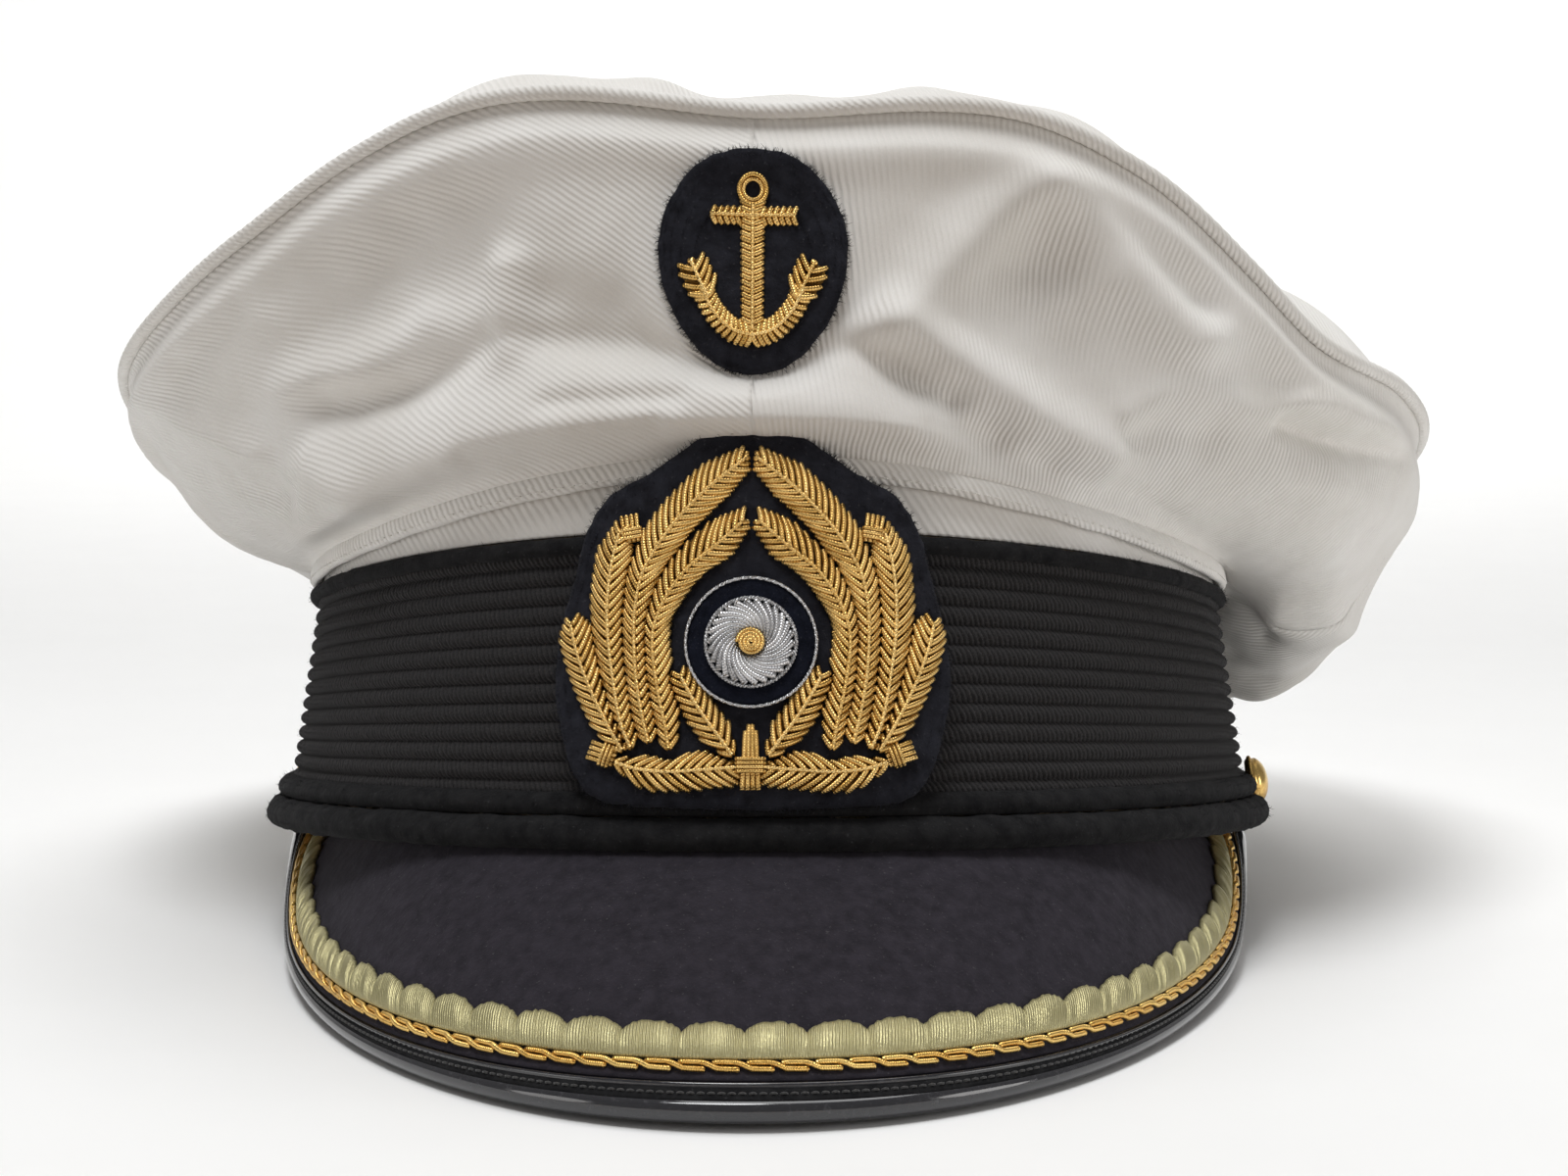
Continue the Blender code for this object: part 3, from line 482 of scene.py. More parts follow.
def wobble(points, size):
    """Smooth noise from -1 to 1 at every point, with bumps about as large as size."""
    flat = (points / size).reshape(-1, 3).tolist()
    return np.array([noise.noise(p) for p in flat]).reshape(points.shape[:-1])


def grid_normals(points, wrap_u=False):
    if wrap_u:
        along = np.roll(points, -1, axis=0) - np.roll(points, 1, axis=0)
    else:
        along = np.gradient(points, axis=0)
    return unit(np.cross(along, np.gradient(points, axis=1)))


def sheet_slab(points, thickness, wrap_u=False):
    """Skin of a sheet of even thickness whose outer face is the grid."""
    return Skin().slab(points, points - grid_normals(points, wrap_u) * thickness, wrap_u)


def grid_size(points, wrap_u=False):
    """Width and length in metres and area in square metres of a sheet's grid."""
    if wrap_u:
        points = np.concatenate([points, points[:1]])
    wide = np.linalg.norm(np.diff(points, axis=0), axis=-1).sum(axis=0).max()
    tall = np.linalg.norm(np.diff(points, axis=1), axis=-1).sum(axis=1).max()
    a = points[1:, :-1] - points[:-1, :-1]
    b = points[:-1, 1:] - points[:-1, :-1]
    return float(wide), float(tall), float(np.linalg.norm(np.cross(a, b), axis=-1).sum())


def declare_sheet(made, wide, tall, area, held, support):
    flat = (round(float(wide), 3), round(float(tall), 3))
    area = round(min(area, flat[0] * flat[1]), 5)


def spline(knots, count):
    """Evenly spaced points of a smooth open curve through the knots (Catmull-Rom)."""
    p = np.asarray(knots, float)
    p = np.concatenate([[2 * p[0] - p[1]], p, [2 * p[-1] - p[-2]]])
    parts = []
    t = np.linspace(0, 1, 24, endpoint=False)[:, None]
    for a, b, c, d in zip(p, p[1:], p[2:], p[3:]):
        parts.append(0.5 * (
            2 * b + (c - a) * t + (2 * a - 5 * b + 4 * c - d) * t**2
            + (3 * b - a - 3 * c + d) * t**3
        ))
    line = np.concatenate([*parts, p[-2:-1]])
    run = run_along(line)
    at = np.linspace(0, run[-1], count)
    return np.stack([np.interp(at, run, line[:, k]) for k in range(line.shape[1])], axis=1)


def even_turns(at, spacing, limit):
    """Visor turns from -limit to limit, evenly spaced along the line that at(turn) follows."""
    turns = np.linspace(-limit, limit, 1201)
    run = run_along(at(turns))
    count = round(run[-1] / spacing)
    return np.interp(np.linspace(0, run[-1], count + 1), run, turns)


# ---------------------------------------------------------------- materials

class Shader:
    """A Principled material and short ways to build the nodes that feed it."""

    def __init__(self, name, colour, roughness, metallic=0.0, **sockets):
        self.material = bpy.data.materials.new(name)
        self.material.use_nodes = True
        self.tree = self.material.node_tree
        self.principled = self.tree.nodes["Principled BSDF"]
        self.principled.inputs["Base Color"].default_value = (*colour, 1)
        self.principled.inputs["Roughness"].default_value = roughness
        self.principled.inputs["Metallic"].default_value = metallic
        for socket, value in sockets.items():
            self.principled.inputs[socket.replace("_", " ")].default_value = value
        self.bumped = None

    def node(self, kind, inputs, **settings):
        made = self.tree.nodes.new(f"ShaderNode{kind}")
        for key, value in settings.items():
            setattr(made, key, value)
        for key, value in inputs.items():
            if isinstance(value, bpy.types.NodeSocket):
                self.tree.links.new(value, made.inputs[key])
            else:
                made.inputs[key].default_value = value
        return made

    def surface(self):
        """Millimetres on the surface, from the UV map."""
        return self.node("UVMap", {}, uv_map="surface_mm").outputs[0]

    def space(self):
        """The object's own coordinates, in metres."""
        return self.node("TexCoord", {}).outputs["Object"]

    def noise(self, vector, scale, detail=3.0, roughness=0.55):
        inputs = {"Vector": vector, "Scale": scale, "Detail": detail, "Roughness": roughness}
        return self.node("TexNoise", inputs).outputs[0]

    def math(self, operation, *values):
        return self.node("Math", dict(enumerate(values)), operation=operation).outputs[0]

    def drift(self, vector, scale, amount):
        """Slow noise that bends a wave by up to amount radians."""
        return self.math("MULTIPLY", self.noise(vector, scale, 2.0), amount)

    def spread(self, value, low, high, new_low=0.0, new_high=1.0):
        """Value mapped from low..high to new_low..new_high, clamped."""
        inputs = {"Value": value, "From Min": low, "From Max": high, "To Min": new_low,
                  "To Max": new_high}
        return self.node("MapRange", inputs).outputs[0]

    def wave(self, vector, across, pitch, warp=0.0):
        """Wave from 0.5 to 1.5 along the direction across (x, y), repeating every pitch."""
        turns = (across[0] * math.tau / pitch, across[1] * math.tau / pitch, 0)
        step = self.node("VectorMath", {0: vector, 1: turns}, operation="DOT_PRODUCT").outputs["Value"]
        swing = self.math("SINE", self.math("ADD", step, warp))
        return self.math("MULTIPLY_ADD", swing, 0.5, 1.0)

    def mix(self, factor, a, b):
        made = self.node("Mix", {0: factor}, data_type="RGBA")
        for key, value in ((6, a), (7, b)):
            if isinstance(value, bpy.types.NodeSocket):
                self.tree.links.new(value, made.inputs[key])
            else:
                made.inputs[key].default_value = (*value, 1)
        return made.outputs[2]

    def blend(self, value, low, high, a, b, share=1.0):
        """Colour a where the value is low, going over to a share of b where it is high."""
        return self.mix(self.spread(value, low, high, 0.0, share), a, b)

    def colour(self, socket):
        self.tree.links.new(socket, self.principled.inputs["Base Color"])

    def roughness(self, value, low, high, smooth, rough):
        """Roughness going from smooth to rough as the value goes from low to high."""
        self.tree.links.new(self.spread(value, low, high, smooth, rough), self.principled.inputs["Roughness"])

    def bump(self, height, distance, strength=1.0):
        inputs = {"Height": height, "Distance": distance * MM, "Strength": strength}
        if self.bumped is not None:
            inputs["Normal"] = self.bumped
        self.bumped = self.node("Bump", inputs).outputs[0]
        self.tree.links.new(self.bumped, self.principled.inputs["Normal"])


def twill_material(name, across, depth=0.13):
    """Off-white cotton twill whose ribs, 1 mm apart, lie square to the direction across, with painted shade in the
    groove between each pair of ribs.
    """
    s = Shader(name, (0.80, 0.78, 0.75), 0.9, Sheen_Weight=0.08, Sheen_Roughness=0.5,
               Specular_IOR_Level=0.2)
    uv = s.surface()
    rib = s.wave(uv, across, 1.0, s.drift(uv, 0.11, 5.0))
    yarn = s.noise(uv, 2.6, 3.0, 0.7)
    patches = s.noise(s.space(), 28.0, 4.0)
    tone = s.blend(patches, 0.35, 0.7, (0.72, 0.695, 0.655), (0.83, 0.815, 0.79))
    # painted shade: the colour darkens to a deeper beige between the ribs, following the same wave as the bump
    groove_shade = s.blend(rib, 0.0, 0.55, (0.60, 0.565, 0.515), tone)
    s.colour(s.blend(yarn, 0.30, 0.75, groove_shade, (0.86, 0.85, 0.83), 0.30))
    s.bump(rib, depth, 0.9)
    s.bump(yarn, 0.10, 0.5)
    return s.material


def mohair_material():
    """Black braid: rows of small looped teeth along each rib, with painted shade between the teeth."""
    s = Shader("mohair", (0.02, 0.02, 0.022), 0.8, Sheen_Weight=0.02, Sheen_Roughness=0.4,
               Specular_IOR_Level=0.15)
    uv = s.surface()
    teeth = s.wave(uv, (1.0, 0.45), 0.95, s.drift(uv, 0.5, 2.0))
    hair = s.noise(uv, 3.5, 4.0, 0.7)
    # painted shade: darker between the teeth, lighter on their crests, following the same wave as the bump
    tone = s.blend(teeth, 0.2, 0.8, (0.003, 0.003, 0.003), (0.030, 0.029, 0.030))
    s.colour(s.blend(hair, 0.5, 0.85, tone, (0.09, 0.08, 0.082)))
    s.bump(teeth, 0.35, 0.9)
    s.bump(hair, 0.25, 0.8)
    return s.material


def felt_material(name, dark, light, lint=(0.10, 0.10, 0.11), fine=1.0):
    """Wool felt: matted fibres with a little pale lint."""
    s = Shader(name, dark, 0.95, Sheen_Weight=0.02, Sheen_Roughness=0.5, Specular_IOR_Level=0.1)
    space = s.space()
    fibres = s.noise(space, 1900.0 * fine, 4.0, 0.7)
    tufts = s.noise(space, 420.0 * fine, 3.0, 0.6)
    base = s.blend(tufts, 0.3, 0.7, dark, light)
    base = s.blend(s.noise(space, 60.0), 0.4, 0.7, base, light, 0.35)
    s.colour(s.blend(fibres, 0.62, 0.80, base, lint))
    s.bump(tufts, 0.35, 0.8)
    s.bump(fibres, 0.20, 0.8)
    return s.material


def bullion_material(name, dark, light, coil=0.42):
    """Coiled metal wire: bright crowns, painted shade in the groove between coils, a tone for each strand."""
    s = Shader(name, light, 0.30, 1.0)
    turns = s.wave(s.surface(), (1.0, 0.25), coil)
    strand = s.node("NewGeometry", {}).outputs["Random Per Island"]
    wear = s.noise(s.space(), 900.0)
    tone = s.blend(wear, 0.35, 0.65, s.mix(strand, dark, light), light, 0.5)
    # painted shade: between coils the colour darkens towards a third of the dark tone, following the coil wave of
    # the bump
    s.colour(s.mix(s.spread(turns, 0.0, 0.6, 0.45, 0.0), tone, tuple(0.35 * c for c in dark)))
    s.roughness(wear, 0.3, 0.7, 0.24, 0.42)
    s.bump(turns, 0.09, 0.7)
    return s.material


def satin_stitch_material():
    """Pale gold thread laid side by side, with painted shade between the threads and painted glints."""
    s = Shader("pale_gold_thread", (0.58, 0.52, 0.30), 0.42, 0.6)
    uv = s.surface()
    thread = s.wave(uv, (1.0, 0.0), 0.5, s.drift(uv, 0.8, 2.5))
    glint_flecks = s.noise(uv, 3.2, 3.0, 0.7)
    # painted shade: darker between the threads, following the thread wave of the bump
    tone = s.blend(thread, 0.0, 0.5, (0.16, 0.125, 0.035), (0.48, 0.435, 0.225))
    # painted glints: random flecks lift the colour towards pale gold; the same flecks also make the thread
    # smoother and bump it
    s.colour(s.blend(glint_flecks, 0.52, 0.75, tone, (0.66, 0.63, 0.45), 0.6))
    s.roughness(glint_flecks, 0.3, 0.7, 0.28, 0.5)
    s.bump(thread, 0.12, 0.9)
    s.bump(glint_flecks, 0.08, 0.6)
    return s.material


def patent_material():
    s = Shader("patent_leather", (0.012, 0.012, 0.014), 0.12, Coat_Weight=0.6, Coat_Roughness=0.05)
    scuff = s.noise(s.space(), 900.0, 4.0, 0.7)
    s.colour(s.blend(scuff, 0.55, 0.8, (0.022, 0.022, 0.026), (0.06, 0.06, 0.068)))
    s.roughness(scuff, 0.4, 0.8, 0.08, 0.3)
    s.bump(s.noise(s.space(), 70.0, 2.0), 0.5, 0.25)
    return s.material


def leather_material(name, dark, light, roughness):
    s = Shader(name, light, roughness, Specular_IOR_Level=0.4)
    cells = s.node("TexVoronoi", {"Vector": s.space(), "Scale": 1400.0}).outputs["Distance"]
    wear = s.noise(s.space(), 55.0, 4.0, 0.6)
    s.colour(s.blend(cells, 0.35, 0.8, s.blend(wear, 0.35, 0.7, dark, light), dark, 0.5))
    s.roughness(wear, 0.3, 0.7, roughness + 0.1, roughness - 0.1)
    s.bump(s.spread(cells, 0.0, 0.6), 0.12, 0.6)
    s.bump(wear, 0.5, 0.2)
    return s.material


def satin_material():
    s = Shader("lining_satin", (0.62, 0.50, 0.30), 0.35, Sheen_Weight=0.3, Anisotropic=0.5)
    yarn = s.wave(s.surface(), (1.0, 0.2), 0.4)
    clouds = s.noise(s.space(), 45.0)
    tone = s.blend(clouds, 0.35, 0.7, (0.50, 0.38, 0.21), (0.70, 0.57, 0.36))
    s.colour(s.mix(s.math("MULTIPLY", yarn, 0.25), tone, (0.34, 0.25, 0.13)))
    s.bump(yarn, 0.05, 0.5)
    s.bump(clouds, 0.8, 0.25)
    return s.material


def celluloid_material():
    s = Shader("clear_celluloid", (0.88, 0.82, 0.62), 0.12, Transmission_Weight=0.85, IOR=1.5)
    haze = s.noise(s.space(), 90.0, 4.0)
    s.colour(s.blend(haze, 0.4, 0.7, (0.90, 0.85, 0.68), (0.78, 0.68, 0.44)))
    s.roughness(haze, 0.3, 0.7, 0.08, 0.25)
    s.bump(haze, 0.6, 0.15)
    return s.material


def fibre_material():
    s = Shader("fibreboard", (0.35, 0.27, 0.18), 0.85)
    specks = s.noise(s.space(), 700.0, 5.0, 0.7)
    s.colour(s.blend(specks, 0.35, 0.7, (0.24, 0.18, 0.115), (0.46, 0.37, 0.25)))
    s.bump(specks, 0.2, 0.5)
    return s.material


def metal_material(name, dark, light, roughness):
    s = Shader(name, light, roughness, 1.0)
    stain = s.noise(s.space(), 260.0, 4.0, 0.6)
    s.colour(s.blend(stain, 0.4, 0.75, light, dark))
    s.roughness(stain, 0.3, 0.7, roughness - 0.08, roughness + 0.12)
    s.bump(stain, 0.08, 0.25)
    return s.material


def thread_material(name, dark, light):
    s = Shader(name, light, 0.75, Sheen_Weight=0.2)
    ply = s.wave(s.surface(), (1.0, 0.5), 0.5)
    # painted shade: darker between the plies of the thread, following the ply wave of the bump
    s.colour(s.mix(ply, dark, light))
    s.bump(ply, 0.06, 0.6)
    return s.material


def stage_material(name, scale, low, high, dark, light, roughness):
    """Matt paint or card of the studio, with a faint grain."""
    s = Shader(name, light, roughness)
    s.colour(s.blend(s.noise(s.space(), scale), low, high, dark, light))
    return s.material


TWILL_LEFT = twill_material("white_twill_left", (0.60, 0.80))
TWILL_RIGHT = twill_material("white_twill_right", (0.98, 0.19))
TWILL_TOP = twill_material("white_twill_top", (0.97, 0.24))
TWILL_BIAS = twill_material("white_twill_bias", (0.78, 0.62), 0.16)
MOHAIR = mohair_material()
BLACK_FELT = felt_material("black_wool", (0.006, 0.006, 0.007), (0.018, 0.018, 0.019), (0.07, 0.07, 0.075))
NAVY_FELT = felt_material("navy_felt", (0.020, 0.018, 0.023), (0.036, 0.032, 0.041), (0.12, 0.115, 0.12))
PATCH_FELT = felt_material("badge_felt", (0.008, 0.008, 0.011), (0.023, 0.024, 0.032),
                           (0.08, 0.08, 0.09), 0.8)
ROUNDEL_FELT = felt_material("roundel_navy", (0.004, 0.005, 0.010), (0.010, 0.012, 0.022), fine=1.4)
GOLD = bullion_material("gold_bullion", (0.46, 0.27, 0.07), (0.80, 0.54, 0.20))
WIRE_GOLD = bullion_material("gold_wire", (0.70, 0.45, 0.14), (0.92, 0.68, 0.30), 0.3)
# padding under the strands, coloured a dark brown-gold as painted shade in the gaps between strands and between
# leaves
SHADED_PADDING = bullion_material("gold_padding_painted_shade", (0.16, 0.085, 0.02), (0.24, 0.14, 0.04), 0.3)
CHAIN_GOLD = bullion_material("chain_gold", (0.74, 0.42, 0.10), (0.92, 0.64, 0.22), 0.35)
SILVER = bullion_material("silver_bullion", (0.30, 0.30, 0.31), (0.60, 0.60, 0.61))
PALE_GOLD = satin_stitch_material()
PATENT = patent_material()
UNDER_LEATHER = leather_material("under_leather", (0.035, 0.016, 0.010), (0.10, 0.05, 0.03), 0.42)
SWEAT_LEATHER = leather_material("sweatband_leather", (0.17, 0.07, 0.03), (0.36, 0.17, 0.08), 0.45)
SATIN = satin_material()
CELLULOID = celluloid_material()
FIBRE = fibre_material()
GILT = metal_material("gilt_metal", (0.42, 0.22, 0.05), (0.90, 0.62, 0.22), 0.25)
STEEL = metal_material("spring_steel", (0.25, 0.25, 0.26), (0.58, 0.59, 0.61), 0.32)
BLACK_THREAD = thread_material("black_thread", (0.006, 0.006, 0.006), (0.035, 0.034, 0.034))
WHITE_THREAD = thread_material("white_thread", (0.62, 0.60, 0.56), (0.88, 0.86, 0.82))
TAN_THREAD = thread_material("tan_thread", (0.30, 0.20, 0.10), (0.62, 0.48, 0.30))


# ---------------------------------------------------------------- hairs on wool

def add_fuzz(skin, roots, normals, length, radius=0.035 * MM):
    """Short bent fibres standing on a wool surface."""
    count = len(roots)
    lean = unit(RANDOM.normal(size=(count, 3)))
    out = unit(normals + 0.7 * lean)
    tall = length * RANDOM.uniform(0.4, 1.3, (count, 1))
    bend = unit(RANDOM.normal(size=(count, 3))) * tall * 0.45
    path = np.stack([roots - normals * radius * 3, roots + out * tall * 0.5, roots + out * tall + bend], 1)
    skin.tubes(path, np.array((1.0, 0.8, 0.35)) * radius, lean[:, None], 3)


# ---------------------------------------------------------------- band

def ring_tube(turns, height, offset, radius, rough):
    """Soft roll round the band, with its centre at a height and an offset from the band's face."""
    section = -round_turns(14)[None, :]
    points = band_point(turns, height + radius * np.sin(-section), offset + radius * np.cos(section))
    normals = outward(turns) * np.cos(section)[..., None] + vec(0, 0, np.sin(-section))
    return points + normals * (wobble(points, 3 * MM) * rough)[..., None]


def button_axis(side):
    """Centre on the band's face and outward normal of a side button."""
    angle = BUTTON_ANGLE[side]
    centre = band_point(angle, BUTTON_HEIGHT)
    ahead = band_point(angle + side, BUTTON_HEIGHT) - band_point(angle - side, BUTTON_HEIGHT)
    up = band_point(angle, BUTTON_HEIGHT + MM) - centre
    return centre, unit(np.cross(ahead, up)) * side


def press_behind_buttons(points):
    """Flattens wool and braid behind each side button, as the CAD recesses do."""
    for side, _ in SIDES:
        centre, axis = button_axis(side)
        away = points - centre
        high = away @ axis
        across = np.linalg.norm(away - high[..., None] * axis, axis=-1)
        inside = across < BUTTON_RADIUS + 2 * GAP
        extra = np.where(inside, np.maximum(high - (BUTTON_STAND_OFF - GAP), 0), 0)
        points = points - extra[..., None] * axis
    return points


def make_mohair():
    """Braid: ribs round the band with a fine looped surface, closed at the back of the cloth."""
    columns, per_rib, hairs = 900, 8, 3600
    turns = full_turns(columns)
    low = MOHAIR_LOW - LOWER_WELT_RADIUS
    high = band_top(turns) - UPPER_WELT_RADIUS
    rows = MOHAIR_RIBS * per_rib + 1
    t = np.linspace(0, 1, rows)[None, :]
    z = low + (high - low) * t
    rib = np.abs(np.sin(math.pi * t * MOHAIR_RIBS)) ** 0.7
    tooth = np.sin(math.tau * turns * MOHAIR_TEETH / 360 + 2.6 * np.sin(math.tau * t * MOHAIR_RIBS))
    face = press_behind_buttons(band_point(turns, z, (rib + 0.13 * tooth * rib - 0.85) * MM))
    skin = Skin().slab(face, band_point(turns, z, FORMER_OUT + 0.2 * MM), True)
    picked = RANDOM.integers(0, columns * (rows - 2), hairs)
    roots = face[:, 1:-1].reshape(-1, 3)[picked]
    add_fuzz(skin, roots, unit(roots * (1, 1, 0)), 0.6 * MM, 0.03 * MM)
    skin.piece("mohair_braid", MOHAIR, "mohair_band", "mohair")


def make_rolls():
    turns = full_turns(480)
    hairs = 2600
    rolls = (
        ("base_felt_roll", "base_roll", BASE_ROLL_RADIUS + 0.1 * MM, FORMER_OUT + GAP + BASE_ROLL_RADIUS,
         BASE_ROLL_RADIUS, 0.35 * MM),
        ("lower_wool_welt", "lower_welt", LOWER_WELT_RADIUS + 0.25 * MM, 0.5 * MM,
         2 * BASE_ROLL_RADIUS + GAP + LOWER_WELT_RADIUS, 0.22 * MM),
        ("upper_wool_welt", "upper_welt", UPPER_WELT_RADIUS, 0.3 * MM,
         band_top(turns) - UPPER_WELT_RADIUS, 0.25 * MM),
    )
    for name, node, radius, offset, height, rough in rolls:
        points = press_behind_buttons(ring_tube(turns, height, offset, radius, rough))
        skin = Skin().grid(points, True, True)
        normals = unit(points - points.mean(axis=1, keepdims=True)).reshape(-1, 3)
        picked = RANDOM.integers(0, len(normals), hairs)
        outer = picked[normals[picked, 2] > -0.5]
        add_fuzz(skin, points.reshape(-1, 3)[outer], normals[outer], 0.55 * MM)
        skin.piece(name, BLACK_FELT, node, "black_wool")


def button_profile():
    """Radius and height of the button's section, from the middle of its dome to its back."""
    inner = BUTTON_RADIUS - 0.55 * MM
    shoulder = 1.2 * MM
    dome = np.radians(np.linspace(2, 74, 12))
    rim = np.radians(np.linspace(110, -90, 8))
    profile = [(0.02 * MM, BUTTON_DOME)]
    profile += [(inner * math.sin(a) / math.sin(dome[-1]), shoulder + (BUTTON_DOME - shoulder) * math.cos(a))
                for a in dome]
    profile += [(BUTTON_RADIUS - BUTTON_RIM + BUTTON_RIM * math.cos(a), 0.9 * MM + BUTTON_RIM * math.sin(a))
                for a in rim]
    profile += [(BUTTON_RADIUS - 0.9 * MM, 0.1 * MM), (0.05 * MM, 0.1 * MM)]
    return np.array(profile) + (0, BUTTON_STAND_OFF)


def make_buttons():
    """Domed gilt buttons: a lathe-turned shell with a rolled rim and a beaded border."""
    profile = button_profile()
    columns, beads = 48, 40
    turns = round_turns(columns)[:, None]
    shell = vec(profile[:, 0] * np.cos(turns), profile[:, 0] * np.sin(turns), profile[:, 1])
    ring = round_turns(beads * 6)
    border = BUTTON_RADIUS - 0.8 * MM
    path = vec(border * np.cos(ring), border * np.sin(ring), BUTTON_STAND_OFF + 1.95 * MM)
    swell = 0.17 * MM * (1 + 0.35 * np.cos(beads * ring))
    for side, label in SIDES:
        centre, axis = button_axis(side)
        lean = np.array(Vector(axis).to_track_quat("Z", "Y").to_matrix()).T
        skin = Skin().grid((shell @ lean + centre)[:, ::-1], True)
        skin.cap_ends(columns, len(profile))
        skin.tubes((path @ lean + centre)[None], swell, axis, 8, True)
        skin.piece(f"domed_button_{label}", GILT, f"button_{label}", "gilt_metal", f"button_{label}_body")


# ---------------------------------------------------------------- visor

def binding_width(turn):
    """Width of the binding's flat strip, from the edge to the lip beside the felt."""
    return BINDING_WIDTH[0] + BINDING_WIDTH[1] * cosine(turn)


def make_visor_layers():
    """Felt on top, leather underneath and the stiff board between them."""
    turns = np.linspace(-VISOR_END_TURN, VISOR_END_TURN, 241)[:, None]
    reach = visor_length(turns) - GAP
    edge = binding_width(turns)

    def layer(start, end, high, low):
        inset = start + (end - start) * np.linspace(0, 1, 60)[None, :]
        return visor_at(turns, inset, high), visor_at(turns, inset, low)

    top, bottom = layer(edge + GAP, reach, 0.0, -0.7 * MM)
    top = top + grid_normals(top) * (wobble(top, 9 * MM) * 0.10 * MM)[..., None]
    skin = Skin().slab(top, bottom)
    inside = top[4:-4, 2:-4].reshape(-1, 3)
    normals = grid_normals(top)[4:-4, 2:-4].reshape(-1, 3)
    picked = RANDOM.integers(0, len(inside), 700)
    add_fuzz(skin, inside[picked], normals[picked], 0.5 * MM, 0.022 * MM)
    skin.piece("visor_felt", NAVY_FELT, "visor_cloth", "navy_felt")
    start, end = np.minimum(edge + GAP, UNDER_EDGE), reach - 0.6 * UNDER_DEPTH[0]
    under = layer(start, end, -UNDER_DEPTH[0], -UNDER_DEPTH[1])
    Skin().slab(*under).piece("visor_under_leather", UNDER_LEATHER, "visor_lining", "under_leather")
    board = layer(0.0, reach - 0.6 * MM, -1.0 * MM, -2.8 * MM)
    Skin().slab(*board).piece("visor_stiffener", FIBRE, "visor_board", "fibreboard")


def binding_section(lip, under):
    """Inset and lift round the patent edge: lip, flat strip, round roll and flange underneath."""
    seat = [(lip, BINDING_SEAT), (lip - 0.02 * MM, -0.1 * MM), (lip - 0.12 * MM, 0.22 * MM),
            (lip - 0.40 * MM, 0.34 * MM), (lip - 0.66 * MM, 0.20 * MM), (lip - 0.80 * MM, -0.08 * MM),
            (0.5 * lip, -0.12 * MM), (0.16 * MM, -0.12 * MM)]
    roll = [(0.1 * MM - EDGE_ROLL * math.cos(a), 0.98 * EDGE_ROLL * math.sin(a) - BOARD_MIDDLE)
            for a in np.radians(np.linspace(82, -82, 15))]
    flange = [(under, -UNDER_DEPTH[1]), (under, -UNDER_DEPTH[0]), (-1.5 * GAP, -UNDER_DEPTH[0]),
              (-1.5 * GAP, BINDING_SEAT)]
    return seat + roll + flange


def make_binding():
    """Patent edge, the dull tape sewn along it and the stitches over the tape."""
    turns = np.linspace(-VISOR_END_TURN, VISOR_END_TURN, 321)
    lip = binding_width(turns)
    section = binding_section(lip, np.minimum(lip, UNDER_EDGE))
    rows = [visor_at(turns, inset, lift) for inset, lift in section]
    skin = Skin().grid(np.stack(rows, axis=1)[:, ::-1], False, True)
    count = len(section)
    skin.cap(range(count))
    skin.cap(range((len(turns) - 1) * count, len(turns) * count), True)
    skin.piece("visor_patent_binding", PATENT, "visor_edge_binding", "patent_leather")
    t = np.linspace(0, 1, 7)
    inner, outer = (lip - 0.78 * MM)[:, None], 0.25 * MM
    inset = outer + (inner - outer) * t
    top = visor_at(turns[:, None], inset, 0.10 * MM * np.sin(math.pi * t) - 0.08 * MM)
    Skin().slab(top, visor_at(turns[:, None], inset, -0.4 * MM)).piece(
        "visor_binding_tape", BLACK_FELT, None, "black_wool")
    marks = even_turns(lambda a: visor_at(a, 0.42 * binding_width(a)), 1.45 * MM, 88)
    share = 0.85 * np.array((-0.42, -0.3, 0.0, 0.3, 0.42))
    at = marks[:, None] + share * np.gradient(marks)[:, None]
    lift = np.array((-0.20, 0.08, 0.22, 0.08, -0.20)) * MM
    Skin().tubes(visor_at(at, 0.42 * binding_width(at), lift), 0.19 * MM, VISOR_UP, 6).piece(
        "visor_binding_stitches", BLACK_THREAD, None, "black_wool")


def chain_inset(turn):
    return CHAIN_INSET[0] + CHAIN_INSET[1] * cosine(turn) ** 0.7


def make_chain():
    """Line of overlapping S-shaped pieces of purl laid end over end."""
    marks = even_turns(lambda a: visor_at(a, chain_inset(a)), CHAIN_STEP, GOLD_WORK_TURN)
    # Half an S, from its end to its middle: share of a step along, offset across and height in mm
    half = np.array((
        (-0.88, 0.52, 0.15), (-0.82, 0.55, 0.42), (-0.55, 0.55, 0.46), (-0.25, 0.50, 0.50),
        (-0.12, 0.30, 0.66), (0.0, 0.0, 0.78),
    ))
    along, across, raised = np.concatenate([half, (half * (-1, -1, 1))[-2::-1]]).T
    at = np.clip(marks[:, None] + along * np.gradient(marks)[:, None], -89, 89)
    knots = np.arange(len(along))
    fine = np.linspace(0, knots[-1], 31)

    def grow(rows):
        return np.stack([np.interp(fine, knots, row) for row in rows])

    inset = grow(chain_inset(at) + across * MM)
    paths = visor_at(grow(at), inset, np.interp(fine, knots, raised * MM))
    ends = np.clip(np.minimum(fine, knots[-1] - fine) * 3 + 0.55, 0.55, 1.0)
    Skin().tubes(paths, 0.42 * MM * ends, VISOR_UP).piece(
        "visor_gold_chain", CHAIN_GOLD, "visor_chain_embroidery", "gold_bullion")


